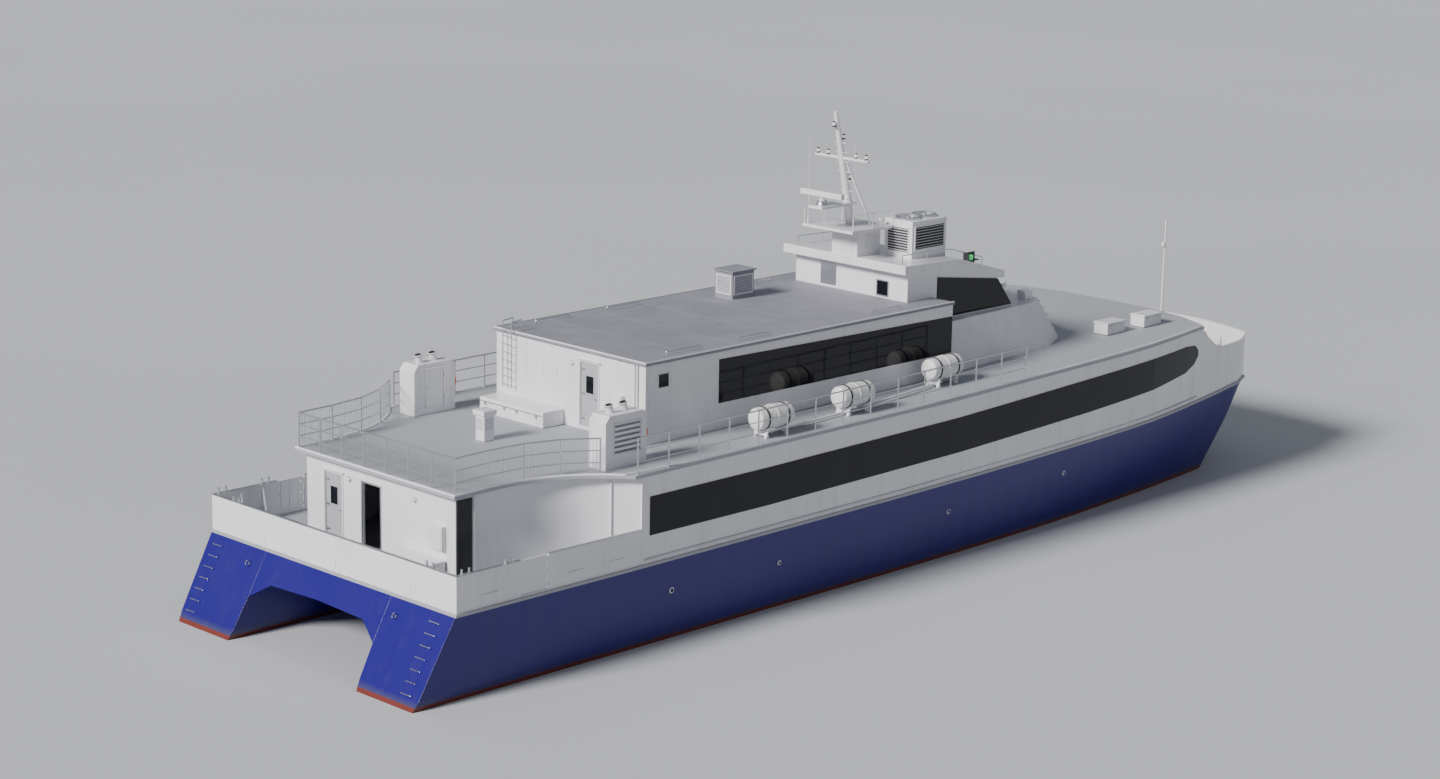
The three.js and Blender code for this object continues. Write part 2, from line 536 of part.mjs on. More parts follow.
/** The upper cabin: two sides with windows, aft and front walls, and the roof. */
function makeUpperCabin() {
  const { aft, front, halfWidth, roofTop, roofPlate } = UPPER_CABIN;
  const under = roofTop - roofPlate - GAP;
  const standing = (solid) => common(solid, overUpper(GAP, FAR), block(-FAR, FAR, -FAR, FAR, 0, under));
  const windows = windowCuts(UPPER_BAND, UPPER_PANES);
  const smallWindow = block(9600, 10000, 0, FAR, 6860, 7260);
  for (const [name, side] of SIDES) {
    const wall = block(aft, front, halfWidth - WALL, halfWidth, 0, ROOFLESS);
    add(`upper_cabin_side_${name}`, handed(standing(cut(wall, windows, smallWindow)), side), WHITE);
    const skin = block(aft, front, halfWidth + GAP, halfWidth + GAP + GLASS, 0, ROOFLESS);
    const strip = common(skin, sideSolid(bandOutline(UPPER_BAND)));
    add(`upper_window_strip_${name}`, handed(strip, side), DARK_GLASS);
  }
  const half = halfWidth - WALL - GAP;
  const floor = upperZ(aft);
  const aftWall = cut(block(aft, aft + WALL, -half, half, 0, ROOFLESS), doorway(aft, UPPER_DOOR_Y, floor));
  add('upper_cabin_aft_wall', standing(aftWall), WHITE);
  add('upper_cabin_front_wall', standing(block(front - WALL, front, -half, half, 0, ROOFLESS)), WHITE);
  add('upper_cabin_door', doorLeaf(aft + 20, UPPER_DOOR_Y, floor), DECK_GREY);
  const roof = block(aft - 90, front, -halfWidth - 90, halfWidth + 90, roofTop - roofPlate, roofTop);
  const ventilator = block(17500, 18500, 1500, 2300, roofTop - 10, roofTop + 880);
  add('upper_cabin_roof', joined(roof, ventilator), DECK_GREY);
}

/** The wheelhouse's plan at a height: the screen leans, and stands upright below the sill. */
function wheelhousePlan(z, aft = WHEELHOUSE.aft) {
  const { corner, front, halfWidth, sill, head, rake } = WHEELHOUSE;
  const lean = (head - Math.max(z, sill)) * rake;
  const port = [[aft, halfWidth], [corner + lean, halfWidth], [front - 250 + lean, 1500], [front + lean, 500]];
  return [...port, ...mirrored(port)];
}
/** The wheelhouse's whole form, drawn in by an amount. */
function wheelhouseForm(inset, spare = 0) {
  const levels = [-spare, WHEELHOUSE.sill, ROOFLESS + spare];
  return stacked(...levels.map((z) => [z, offset(wheelhousePlan(z), inset, true)]));
}
/** Everything below the wheelhouse's sloping eaves. */
const underEaves = (drop) => over([-FAR, FAR].map((x) => [x, along(EAVES, x)]), -2 * FAR, -drop);

/** The wheelhouse walls and their dark window strip. */
function makeWheelhouse() {
  const { aft, sill, glassAft } = WHEELHOUSE;
  const cabinTop = block(-FAR, UPPER_CABIN.front + GAP, -FAR, FAR, 0, UPPER_CABIN.roofTop + GAP);
  const uprights = [24300, 25200, 26050].map((x) => block(x - 50, x + 50, -FAR, FAR, 0, ROOFLESS));
  const mullions = [-1500, -500, 500, 1500].map((y) => block(26050, FAR, y - 45, y + 45, 0, ROOFLESS));
  const panes = common(block(glassAft + 400, FAR, -FAR, FAR, sill + 90, ROOFLESS), underEaves(150));
  const aftWindow = block(aft - 500, aft + 500, -1625, -1175, 7780, 8230);
  const windows = cut(panes, ...uprights, ...mullions);
  const ring = cut(wheelhouseForm(0), wheelhouseForm(WALL, 10), windows, aftWindow);
  add('wheelhouse_walls', common(cut(ring, cabinTop), underEaves(GAP), overUpper(GAP, FAR)), WHITE);
  const skin = cut(wheelhouseForm(-GAP - GLASS), wheelhouseForm(-GAP, 10));
  const strip = common(skin, block(glassAft, FAR, -FAR, FAR, sill, ROOFLESS), underEaves(60));
  add('wheelhouse_window_strip', strip, DARK_GLASS);
}
/** The wheelhouse roof with its machinery unit. */
function makeWheelhouseRoof() {
  const eave = 230;
  const plan = offset(wheelhousePlan(WHEELHOUSE.head, EAVES[0][0] + eave), -eave, true);
  const profile = sideSolid([...EAVES.map(([x, z]) => [x, z + GAP]), ...ROOF_TOP.slice().reverse()]);
  const unit = block(22300, 24000, -1900, -700, 8700, 10150);
  add('wheelhouse_roof', joined(common(planSolid(plan, 0, FAR), profile), unit), WHITE);
}
/** The wheelhouse floor with the helm console and two chairs. */
function makeHelm() {
  const inside = offset(wheelhousePlan(0, UPPER_CABIN.front + WALL), WALL + 1, true);
  const floor = planSolid(inside, 6120, 6200);
  const desk = sideSolid([[25300, 6150], [26000, 6150], [26000, 7050], [25700, 7150], [25200, 6980],
    [25300, 6850]], -1400, 1400);
  const chairs = BOTH.map((s) => {
    const y = s * 700;
    const seat = block(24250, 24750, y - 250, y + 250, 6650, 6760);
    return joined(post(24500, y, 6150, 6700, 60), seat, block(24200, 24290, y - 240, y + 240, 6650, 7450));
  });
  add('helm_console', joined(floor, desk, ...chairs), DARK);
}

/** The sloping front of the upper works, round the foot of the wheelhouse. */
function makeForwardFairing() {
  const start = UPPER_CABIN.front + GAP;
  const foot = [[start, 3310], [28300, 3150], [29600, 2500], [30300, 1000]];
  const top = [[start, 2950], [27600, 2700], [28400, 2300], [28900, 900]];
  const whole = (port) => [...port, ...mirrored(port)];
  const body = common(stacked([5200, whole(foot)], [6900, whole(top)]), overUpper(GAP, FAR));
  add('forward_fairing', cut(body, wheelhouseForm(-GAP)), WHITE);
}

/** The signal mast on its housing, with its two platforms, the yard, and the radar scanner. */
function makeMast() {
  const foot = [21450, 0, 9850];
  const top = [20550, 0, 13700];
  const roof = sideSolid([...ROOF_TOP.map(([x, z]) => [x, z + GAP]), [27400, 0], [21100, 0]]);
  const housing = cut(block(21150, 22250, -560, 560, 8800, 9900), roof);
  const crosstree = block(20300, 22250, -1100, 1100, 9850, 9940);
  const platform = block(19700, 21350, -300, 300, 10620, 10700);
  const pedestal = bar([RADAR.x, 0, 10650], [RADAR.x, 0, RADAR.z - 70], 150, 110, 12);
  const yard = bar([20910, -1150, 12150], [20910, 1150, 12150], 55);
  const stays = BOTH.map((s) => bar([21900, s * 480, 9850], [20860, s * 40, 12400], 45));
  const column = bar(foot, top, 150, 70, 10);
  add('mast', joined(housing, crosstree, column, yard, platform, pedestal, ...stays), WHITE);
  const scanner = block(RADAR.x - 80, RADAR.x + 80, -RADAR.half, RADAR.half, RADAR.z, RADAR.z + 180);
  add('radar_scanner', joined(scanner, post(RADAR.x, 0, RADAR.z - 60, RADAR.z + 20, 60)), WHITE);
}

/** The jackstaff at the bow. */
function makeJackstaff() {
  const [x, y] = [38150, -400];
  add('jackstaff', bar([x, y, FOREDECK_TOP + GAP], [x, y, 8200], 45, 25), WHITE);
}

/** Liferaft canisters along one side, on cradles joined by a rail. */
function makeRafts(name, side) {
  const { radius, half, axis } = RAFT;
  const canisters = RAFTS.map(([x, y]) => {
    const z = upperZ(x) + axis;
    return bar([x - half, y, z], [x + half, y, z], radius, radius, 12);
  });
  const legs = RAFTS.flatMap(([x, y]) => BOTH.map((s) => {
    const [legX, deck] = [x + s * 420, upperZ(x)];
    return block(legX - 30, legX + 30, y - 260, y + 260, deck + 60, deck + 340);
  }));
  const rails = RAFTS.slice(1).map(([x, y], i) => {
    const [x0, y0] = RAFTS[i];
    return bar([x0, y0, upperZ(x0) + 90], [x, y, upperZ(x) + 90], 40);
  });
  add(`liferafts_${name}`, handed(joined(...canisters, ...legs, ...rails), side), WHITE);
}

/** A guard rail along a list of [x, y] points on the upper deck. */
function railRun(points) {
  const rail = { height: 1050, rows: 3, bar: 24, post: 28, spacing: 2000 };
  const at = (x, y, z) => [x, y, upperZ(x) + z];
  const pieces = points.slice(1).flatMap(([x1, y1], i) => {
    const [x0, y0] = points[i];
    const rows = steps(rail.rows, (k) => {
      const z = (rail.height * (k + 1)) / rail.rows;
      return bar(at(x0, y0, z), at(x1, y1, z), rail.bar, rail.bar, 4);
    });
    const count = Math.max(1, Math.round(Math.hypot(x1 - x0, y1 - y0) / rail.spacing));
    const posts = steps(count + (i === 0 ? 1 : 0), (k) => {
      const t = 1 - k / count;
      const [x, y] = [mix(x0, x1, t), mix(y0, y1, t)];
      return bar(at(x, y, 4 + GAP), at(x, y, rail.height + 20), rail.post, rail.post, 4);
    });
    return [...rows, ...posts];
  });
  return joined(...pieces);
}
/** The guard rails of the upper deck: one round its aft end and one along each side. */
function makeRails() {
  const inset = 100;
  const round = offset(houseLine(4), inset - AFT_HOUSE.eave);
  const limit = HALF_BEAM - inset;
  add('rail_aft', railRun(round.filter(([, y]) => Math.abs(y) < limit - 200)), STEEL);
  for (const [name, side] of SIDES) {
    const line = [[6750, side * limit], [15300, side * limit], [24000, side * limit]];
    add(`rail_side_${name}`, railRun(line), STEEL);
  }
}

/** Seat benches row by row over a deck, joined by their floor rail. */
function seatBlock(x0, x1, y0, y1, deck) {
  const seat = { pitch: 1000, depth: 460, base: 180, cushion: 240, back: 900, thickness: 120 };
  const count = Math.floor((x1 - x0) / seat.pitch);
  const middle = (y0 + y1) / 2;
  const rail = common(block(x0, x1, middle - 60, middle + 60, 0, ROOFLESS), over(deck, 40, 220));
  const rows = steps(count, (i) => {
    const x = x0 + i * seat.pitch;
    const base = along(deck, x) + seat.base;
    const cushion = block(x, x + seat.depth, y0, y1, base, base + seat.cushion);
    const back = block(x - seat.thickness / 2, x + seat.thickness / 2, y0, y1, base, base + seat.back);
    return joined(cushion, back);
  });
  return joined(rail, ...rows);
}
function makeSeats() {
  const clearOfStairs = STAIR.foot + 500;
  for (const [name, side] of SIDES) {
    const [mainStart, upperStart] = side > 0 ? [clearOfStairs, clearOfStairs] : [8600, 10800];
    add(`seats_main_${name}`, handed(seatBlock(mainStart, 32600, 1300, 4700, DECK_EDGE), side), SEAT);
    add(`seats_upper_${name}`, handed(seatBlock(upperStart, 21600, 700, 2900, UPPER_DECK), side), SEAT);
  }
}

/** The fixed housing of a waterjet, with the two arms that carry its nozzle's pins. */
function makeJetHousing(name, side) {
  const { z, flange, flangeRadius, pivot } = JET;
  const profile = [[flange - GAP, 0], [flange - GAP, flangeRadius], [540, flangeRadius], [540, 376], [330, 352],
    [90, 200], [pivot - 20, 192], [pivot - 20, 164], [90, 172], [330, 264], [480, 264], [480, 0]];
  const hole = post(pivot, HULL_Y, z - 600, z + 600, 36, 16);
  const arms = BOTH.flatMap((s) => [
    cut(block(pivot - 60, 420, HULL_Y - 60, HULL_Y + 60, z + s * 336, z + s * 376), hole),
    block(230, 420, HULL_Y - 60, HULL_Y + 60, z + s * 285, z + s * 376),
  ]);
  add(`jet_housing_${name}`, handed(joined(turned(profile, HULL_Y, z, 24), ...arms), side), STEEL);
}
/** The impeller inside a waterjet. */
function makeImpeller(name, side) {
  const hub = turned([[465, 0], [465, 88], [220, 88], [150, 32], [150, 0]], HULL_Y, JET.z, 16);
  const blade = new THREE.BoxGeometry(150, 18, 172).rotateZ(0.6).translate(0, 0, 160);
  const blades = steps(5, (i) => {
    const turn = (i * 2 * Math.PI) / 5;
    return solidOf(blade.clone().rotateX(turn).translate(390, HULL_Y, JET.z));
  });
  add(`impeller_${name}`, handed(joined(hub, ...blades), side), BRONZE);
}
/** The steering nozzle, on its two pins, with bosses that carry the bucket. */
function makeSteeringNozzle(name, side) {
  const { z, pivot, bucketPivot, nozzleEnd } = JET;
  const mouth = [pivot + 10, 276];
  const nozzle = turned([mouth, [pivot + 10, 256], [nozzleEnd, 204], [nozzleEnd, 232], mouth], HULL_Y, z, 20);
  const fittings = BOTH.flatMap((s) => [
    post(pivot, HULL_Y, z + s * 260, z + s * 380, 30, 12),
    block(pivot - 90, pivot + 45, HULL_Y - 70, HULL_Y + 70, z + s * 266, z + s * 316),
    bar([bucketPivot, HULL_Y + s * 228, z], [bucketPivot, HULL_Y + s * 325, z], 40, 40, 12),
  ]);
  add(`steering_nozzle_${name}`, handed(joined(nozzle, ...fittings), side), STEEL);
}
/** The reversing bucket that swings down over the nozzle. */
function makeReversingBucket(name, side) {
  const { z, bucketPivot, bucketRadius, cheek } = JET;
  const [low, high] = [22, 100].map(THREE.MathUtils.degToRad);
  const arc = (radius) => steps(7, (i) => {
    const angle = mix(low, high, i / 6);
    return [bucketPivot - radius * Math.cos(angle), z + radius * Math.sin(angle)];
  });
  const plate = [...arc(bucketRadius + 25), ...arc(bucketRadius).reverse()];
  const eye = bar([bucketPivot, HULL_Y - 600, z], [bucketPivot, HULL_Y + 600, z], 46, 46, 16);
  const outline = [...arc(bucketRadius + 10), [bucketPivot + 90, z + 60], [bucketPivot + 60, z - 80],
    [bucketPivot - 80, z - 60]];
  const cheeks = BOTH.map((s) => cut(sideSolid(outline, HULL_Y + s * cheek, HULL_Y + s * (cheek - 20)), eye));
  const deflector = sideSolid(plate, HULL_Y - cheek, HULL_Y + cheek);
  add(`reversing_bucket_${name}`, handed(joined(deflector, ...cheeks), side), STEEL);
}

// The whole ship
for (const [name, side] of SIDES) {
  makeHull(name, side);
  makeGate(name, side);
  makeCasing(name, side);
  makeRafts(name, side);
  makeJetHousing(name, side);
  makeImpeller(name, side);
  makeSteeringNozzle(name, side);
  makeReversingBucket(name, side);
}
makeBridge();
makeMainDeck();
makeForedeck();
makeAftBulwark();
makeBowBulwark();
makeMainCabin();
makeCabinBulkhead();
makeUpperDeck();
makeAftHouse();
makeStairs();
makeDeckGear();
makeUpperCabin();
makeWheelhouse();
makeWheelhouseRoof();
makeHelm();
makeForwardFairing();
makeMast();
makeJackstaff();
makeRails();
makeSeats();

export default ship;
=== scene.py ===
"""Dresses a catamaran passenger ferry of the 40 m class, afloat at z = 0.

Metres, +X towards the bow, +Y to port, +Z up, origin amidships at the waterline.
"""

from __future__ import annotations

import logging
import math
from collections.abc import Iterable, Sequence
from dataclasses import dataclass, field
from enum import Enum

import bmesh
import bpy
from bmesh.types import BMEdge, BMesh, BMFace, BMVert
from mathutils import Matrix, Vector


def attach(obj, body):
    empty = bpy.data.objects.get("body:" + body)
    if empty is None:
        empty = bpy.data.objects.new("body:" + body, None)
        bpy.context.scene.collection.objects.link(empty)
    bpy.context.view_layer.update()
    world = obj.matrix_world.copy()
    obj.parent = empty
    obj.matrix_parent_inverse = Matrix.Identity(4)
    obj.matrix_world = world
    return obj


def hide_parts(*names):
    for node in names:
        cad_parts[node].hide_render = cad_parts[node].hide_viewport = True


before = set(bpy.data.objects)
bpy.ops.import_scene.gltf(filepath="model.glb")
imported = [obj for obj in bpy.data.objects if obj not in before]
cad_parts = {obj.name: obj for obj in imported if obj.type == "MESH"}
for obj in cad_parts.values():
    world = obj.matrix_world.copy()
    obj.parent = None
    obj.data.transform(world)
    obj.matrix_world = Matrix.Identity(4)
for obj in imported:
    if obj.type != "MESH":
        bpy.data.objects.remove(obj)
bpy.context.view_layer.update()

LOG = logging.getLogger("ferry")

Point = tuple[float, float, float]
Colour = tuple[float, float, float]
Plan = tuple[float, float]
Span = tuple[float, float]
Tree = bpy.types.NodeTree
Node = bpy.types.Node
Socket = bpy.types.NodeSocket

SHIP = "ship"
AMIDSHIPS = 18.5  # from the deck-edge transom to the origin
SUNK = 0.002  # how far a fitting reaches into what carries it


class Side(Enum):
    """The two sides of the ship, with the sign of y on each."""

    PORT = 1
    STARBOARD = -1

    @property
    def word(self) -> str:
        """The side's name as the nodes spell it."""
        return self.name.lower()


# Node groups that several finishes share


class Group(Enum):
    """Shader node groups, built once."""

    WEATHER = "streaks_and_salt"
    PLATING = "welded_plating"
    NONSLIP = "nonslip_grit"


def new_group(
    name: str, inputs: Sequence[tuple[str, str, object]], outputs: Sequence[tuple[str, str]],
) -> tuple[Tree, Node, Node]:
    """Starts a shader node group.

    Args:
        name: the group's name.
        inputs: name, socket kind and default of each input.
        outputs: name and socket kind of each output.

    Returns:
        The group's tree, its input node and its output node.
    """
    tree = bpy.data.node_groups.new(name, "ShaderNodeTree")
    for label, kind, default in inputs:
        socket = tree.interface.new_socket(name=label, in_out="INPUT", socket_type=kind)
        socket.default_value = default
    for label, kind in outputs:
        tree.interface.new_socket(name=label, in_out="OUTPUT", socket_type=kind)
    return tree, tree.nodes.new("NodeGroupInput"), tree.nodes.new("NodeGroupOutput")


def noise(tree: Tree, vector: Socket, scale: float, detail: float = 3.0, roughness: float = 0.55) -> Socket:
    """Adds a noise texture and returns its factor socket."""
    node = tree.nodes.new("ShaderNodeTexNoise")
    node.inputs["Scale"].default_value = scale
    node.inputs["Detail"].default_value = detail
    node.inputs["Roughness"].default_value = roughness
    tree.links.new(vector, node.inputs["Vector"])
    return node.outputs["Fac"]


def stretched(tree: Tree, vector: Socket, scale: Point) -> Socket:
    """Scales a coordinate by axis and returns the new vector."""
    node = tree.nodes.new("ShaderNodeMapping")
    node.inputs["Scale"].default_value = scale
    tree.links.new(vector, node.inputs["Vector"])
    return node.outputs["Vector"]


def ramped(tree: Tree, value: Socket, low: float, high: float) -> Socket:
    """Maps a value's range between two thresholds to 0..1."""
    node = tree.nodes.new("ShaderNodeMapRange")
    node.inputs["From Min"].default_value = low
    node.inputs["From Max"].default_value = high
    tree.links.new(value, node.inputs["Value"])
    return node.outputs["Result"]


def maths(tree: Tree, kind: str, a: Socket | float, b: Socket | float) -> Socket:
    """Adds a math node of two values, each a socket or a number."""
    node = tree.nodes.new("ShaderNodeMath")
    node.operation = kind
    for i, value in enumerate((a, b)):
        if isinstance(value, (int, float)):
            node.inputs[i].default_value = value
        else:
            tree.links.new(value, node.inputs[i])
    return node.outputs["Value"]


def blended(tree: Tree, factor: Socket, a: Socket | Colour, b: Socket | Colour) -> Socket:
    """Mixes two colours, each a socket or a value, by a factor socket."""
    node = tree.nodes.new("ShaderNodeMix")
    node.data_type = "RGBA"
    tree.links.new(factor, node.inputs["Factor"])
    for name, value in (("A", a), ("B", b)):
        socket = next(s for s in node.inputs if s.name == name and s.type == "RGBA")
        if isinstance(value, tuple):
            socket.default_value = (*value, 1.0)
        else:
            tree.links.new(value, socket)
    return next(s for s in node.outputs if s.type == "RGBA")


def build_weather() -> Tree:
    """Rain streaks down upright faces and cloudy salt over all of them."""
    tree, into, out = new_group(
        Group.WEATHER.value,
        (
            ("Position", "NodeSocketVector", (0.0, 0.0, 0.0)),
            ("Colour", "NodeSocketColor", (0.8, 0.8, 0.8, 1.0)),
            ("Dirt", "NodeSocketColor", (0.3, 0.27, 0.22, 1.0)),
            ("Streaks", "NodeSocketFloat", 0.3),
            ("Clouds", "NodeSocketFloat", 0.15),
            ("Roughness", "NodeSocketFloat", 0.4),
        ),
        (("Colour", "NodeSocketColor"), ("Roughness", "NodeSocketFloat")),
    )
    where = into.outputs["Position"]
    streak = noise(tree, stretched(tree, where, (3.2, 3.2, 0.22)), 1.0, 4.0, 0.6)
    streak = ramped(tree, streak, 0.52, 0.86)
    clouds = ramped(tree, noise(tree, where, 0.55, 5.0), 0.42, 0.78)
    amount = maths(tree, "MULTIPLY", streak, into.outputs["Streaks"])
    haze = maths(tree, "MULTIPLY", clouds, into.outputs["Clouds"])
    total = maths(tree, "MINIMUM", maths(tree, "ADD", amount, haze), 1.0)
    tree.links.new(blended(tree, total, into.outputs["Colour"], into.outputs["Dirt"]), out.inputs["Colour"])
    rough = maths(tree, "MULTIPLY", total, 0.35)
    tree.links.new(maths(tree, "ADD", into.outputs["Roughness"], rough), out.inputs["Roughness"])
    return tree


def build_plating() -> Tree:
    """The height of welded sheet: long shallow waves between frames and a bead at each seam."""
    tree, into, out = new_group(
        Group.PLATING.value,
        (
            ("Position", "NodeSocketVector", (0.0, 0.0, 0.0)),
            ("Frames", "NodeSocketFloat", 1.0),
            ("Wave", "NodeSocketFloat", 0.5),
            ("Seams", "NodeSocketFloat", 0.5),
        ),
        (("Height", "NodeSocketFloat"),),
    )
    split = tree.nodes.new("ShaderNodeSeparateXYZ")
    tree.links.new(into.outputs["Position"], split.inputs["Vector"])
    along = maths(tree, "MULTIPLY", split.outputs["X"], into.outputs["Frames"])
    swell = maths(tree, "SINE", maths(tree, "MULTIPLY", along, 2 * math.pi), 0.0)
    swell = maths(tree, "MULTIPLY", swell, noise(tree, into.outputs["Position"], 0.4, 2.0))
    wave = maths(tree, "MULTIPLY", swell, into.outputs["Wave"])
    seam = maths(tree, "PINGPONG", along, 2.0)
    seam = ramped(tree, seam, 0.02, 0.0)
    seams = maths(tree, "MULTIPLY", seam, into.outputs["Seams"])
    tree.links.new(maths(tree, "ADD", wave, seams), out.inputs["Height"])
    return tree


def build_nonslip() -> Tree:
    """Grit in deck paint, with worn paths and a colour that wanders."""
    tree, into, out = new_group(
        Group.NONSLIP.value,
        (
            ("Position", "NodeSocketVector", (0.0, 0.0, 0.0)),
            ("Colour", "NodeSocketColor", (0.4, 0.4, 0.4, 1.0)),
            ("Worn", "NodeSocketColor", (0.5, 0.5, 0.5, 1.0)),
        ),
        (("Colour", "NodeSocketColor"), ("Height", "NodeSocketFloat")),
    )
    where = into.outputs["Position"]
    grit = noise(tree, where, 60.0, 2.0)
    paths = ramped(tree, noise(tree, where, 0.7, 5.0, 0.65), 0.38, 0.72)
    tree.links.new(blended(tree, paths, into.outputs["Colour"], into.outputs["Worn"]), out.inputs["Colour"])
    tree.links.new(grit, out.inputs["Height"])
    return tree


BUILDERS = {Group.WEATHER: build_weather, Group.PLATING: build_plating, Group.NONSLIP: build_nonslip}


def placed(tree: Tree, group: Group) -> Node:
    """Puts a shared group into a material, building it the first time."""
    node = tree.nodes.new("ShaderNodeGroup")
    node.node_tree = bpy.data.node_groups.get(group.value) or BUILDERS[group]()
    return node


def started(name: str) -> tuple[bpy.types.Material, Tree, Node, Socket]:
    """Starts a node material.

    Args:
        name: the material's name.

    Returns:
        The material, its tree, its Principled shader and its object coordinates.
    """
    material = bpy.data.materials.new(name)
    material.use_nodes = True
    tree = material.node_tree
    shader = tree.nodes["Principled BSDF"]
    where = tree.nodes.new("ShaderNodeTexCoord").outputs["Object"]
    return material, tree, shader, where


def weathered(
    tree: Tree, shader: Node, where: Socket, colour: Colour, dirt: Colour,
    amounts: tuple[float, float, float],
) -> None:
    """Colours a shader through the weather group.

    Args:
        tree: the material's tree.
        shader: its Principled shader.
        where: its object coordinates.
        colour: the clean colour.
        dirt: the colour of streaks and salt.
        amounts: how strong the streaks and the salt are, and the clean roughness.
    """
    weather = placed(tree, Group.WEATHER)
    weather.inputs["Colour"].default_value = (*colour, 1.0)
    weather.inputs["Dirt"].default_value = (*dirt, 1.0)
    for label, amount in zip(("Streaks", "Clouds", "Roughness"), amounts):
        weather.inputs[label].default_value = amount
    tree.links.new(where, weather.inputs["Position"])
    tree.links.new(weather.outputs["Colour"], shader.inputs["Base Color"])
    tree.links.new(weather.outputs["Roughness"], shader.inputs["Roughness"])


def bumped(tree: Tree, shader: Node, height: Socket, distance: float, strength: float = 1.0) -> None:
    """Feeds a height to the shader's normal."""
    node = tree.nodes.new("ShaderNodeBump")
    node.inputs["Distance"].default_value = distance
    node.inputs["Strength"].default_value = strength
    tree.links.new(height, node.inputs["Height"])
    tree.links.new(node.outputs["Normal"], shader.inputs["Normal"])


# Finishes


@dataclass(frozen=True)
class Paint:
    """Marine gloss over welded aluminium plate."""

    name: str
    colour: Colour
    roughness: float = 0.32
    dirt: Colour = (0.36, 0.33, 0.29)
    streaks: float = 0.28
    clouds: float = 0.12
    wave: float = 0.5
    seams: float = 0.35
    depth: float = 0.006
    coat: float = 0.25
    coat_roughness: float = 0.12

    def make(self) -> bpy.types.Material:
        """Builds the material."""
        material, tree, shader, where = started(self.name)
        amounts = (self.streaks, self.clouds, self.roughness)
        weathered(tree, shader, where, self.colour, self.dirt, amounts)
        plating = placed(tree, Group.PLATING)
        plating.inputs["Wave"].default_value = self.wave
        plating.inputs["Seams"].default_value = self.seams
        tree.links.new(where, plating.inputs["Position"])
        bumped(tree, shader, plating.outputs["Height"], self.depth)
        shader.inputs["Coat Weight"].default_value = self.coat
        shader.inputs["Coat Roughness"].default_value = self.coat_roughness
        return material


@dataclass(frozen=True)
class HullPaint(Paint):
    """Hull gloss with antifouling below the boot line and a scum line at the water."""

    boot: float = 0.12
    boot_edge: float = 0.004
    antifouling: Colour = (0.16, 0.028, 0.02)
    scum: Colour = (0.10, 0.11, 0.08)
    scum_reach: float = 0.10
    scum_wobble: float = 0.16
    scum_strength: float = 0.45

    def make(self) -> bpy.types.Material:
        """Builds the material."""
        material = super().make()
        tree = material.node_tree
        shader = tree.nodes["Principled BSDF"]
        where = next(n for n in tree.nodes if n.type == "TEX_COORD").outputs["Object"]
        split = tree.nodes.new("ShaderNodeSeparateXYZ")
        tree.links.new(where, split.inputs["Vector"])
        height = split.outputs["Z"]
        wobble = maths(tree, "MULTIPLY", noise(tree, where, 1.6, 4.0), self.scum_wobble)
        level = maths(tree, "SUBTRACT", height, wobble)
        scum = ramped(tree, level, self.boot + self.scum_reach, self.boot - self.scum_reach)
        below = ramped(tree, height, self.boot + self.boot_edge, self.boot - self.boot_edge)
        coat = shader.inputs["Base Color"].links[0].from_socket
        stained = blended(tree, maths(tree, "MULTIPLY", scum, self.scum_strength), coat, self.scum)
        tree.links.new(blended(tree, below, stained, self.antifouling), shader.inputs["Base Color"])
        return material


@dataclass(frozen=True)
class DeckPaint:
    """Grey deck paint with grit."""

    name: str
    colour: Colour
    worn: Colour
    roughness: float = 0.75
    depth: float = 0.002
    grit: float = 0.6

    def make(self) -> bpy.types.Material:
        """Builds the material."""
        material, tree, shader, where = started(self.name)
        grit = placed(tree, Group.NONSLIP)
        grit.inputs["Colour"].default_value = (*self.colour, 1.0)
        grit.inputs["Worn"].default_value = (*self.worn, 1.0)
        tree.links.new(where, grit.inputs["Position"])
        tree.links.new(grit.outputs["Colour"], shader.inputs["Base Color"])
        bumped(tree, shader, grit.outputs["Height"], self.depth, self.grit)
        shader.inputs["Roughness"].default_value = self.roughness
        return material


@dataclass(frozen=True)
class TintedGlass:
    """Dark bonded glazing, a little see-through, that bellies slightly."""

    name: str
    colour: Colour = (0.003, 0.0035, 0.007)
    smeared: Colour = (0.012, 0.013, 0.018)
    polish: float = 0.05
    smear_roughness: float = 0.12
    belly: float = 0.004
    opacity: float = 0.97
    specular: float = 0.35

    def make(self) -> bpy.types.Material:
        """Builds the material."""
        material, tree, shader, where = started(self.name)
        smear = ramped(tree, noise(tree, stretched(tree, where, (1.0, 1.0, 0.3)), 1.4, 4.0), 0.5, 0.9)
        tree.links.new(blended(tree, smear, self.colour, self.smeared), shader.inputs["Base Color"])
        rough = maths(tree, "ADD", maths(tree, "MULTIPLY", smear, self.smear_roughness), self.polish)
        tree.links.new(rough, shader.inputs["Roughness"])
        bumped(tree, shader, noise(tree, where, 0.9, 1.0), self.belly)
        shader.inputs["Alpha"].default_value = self.opacity
        shader.inputs["Specular IOR Level"].default_value = self.specular
        return material


@dataclass(frozen=True)
class Metal:
    """Bare marine metal, brushed and dulled by salt."""

    name: str
    colour: Colour
    dull: Colour
    roughness: float = 0.32
    streaks: float = 0.3
    salt: float = 0.4
    grain: Point = (2.0, 2.0, 60.0)
    depth: float = 0.0008

    def make(self) -> bpy.types.Material:
        """Builds the material."""
        material, tree, shader, where = started(self.name)
        weathered(tree, shader, where, self.colour, self.dull, (self.streaks, self.salt, self.roughness))
        bumped(tree, shader, noise(tree, stretched(tree, where, self.grain), 3.0, 2.0), self.depth)
        shader.inputs["Metallic"].default_value = 1.0
        return material


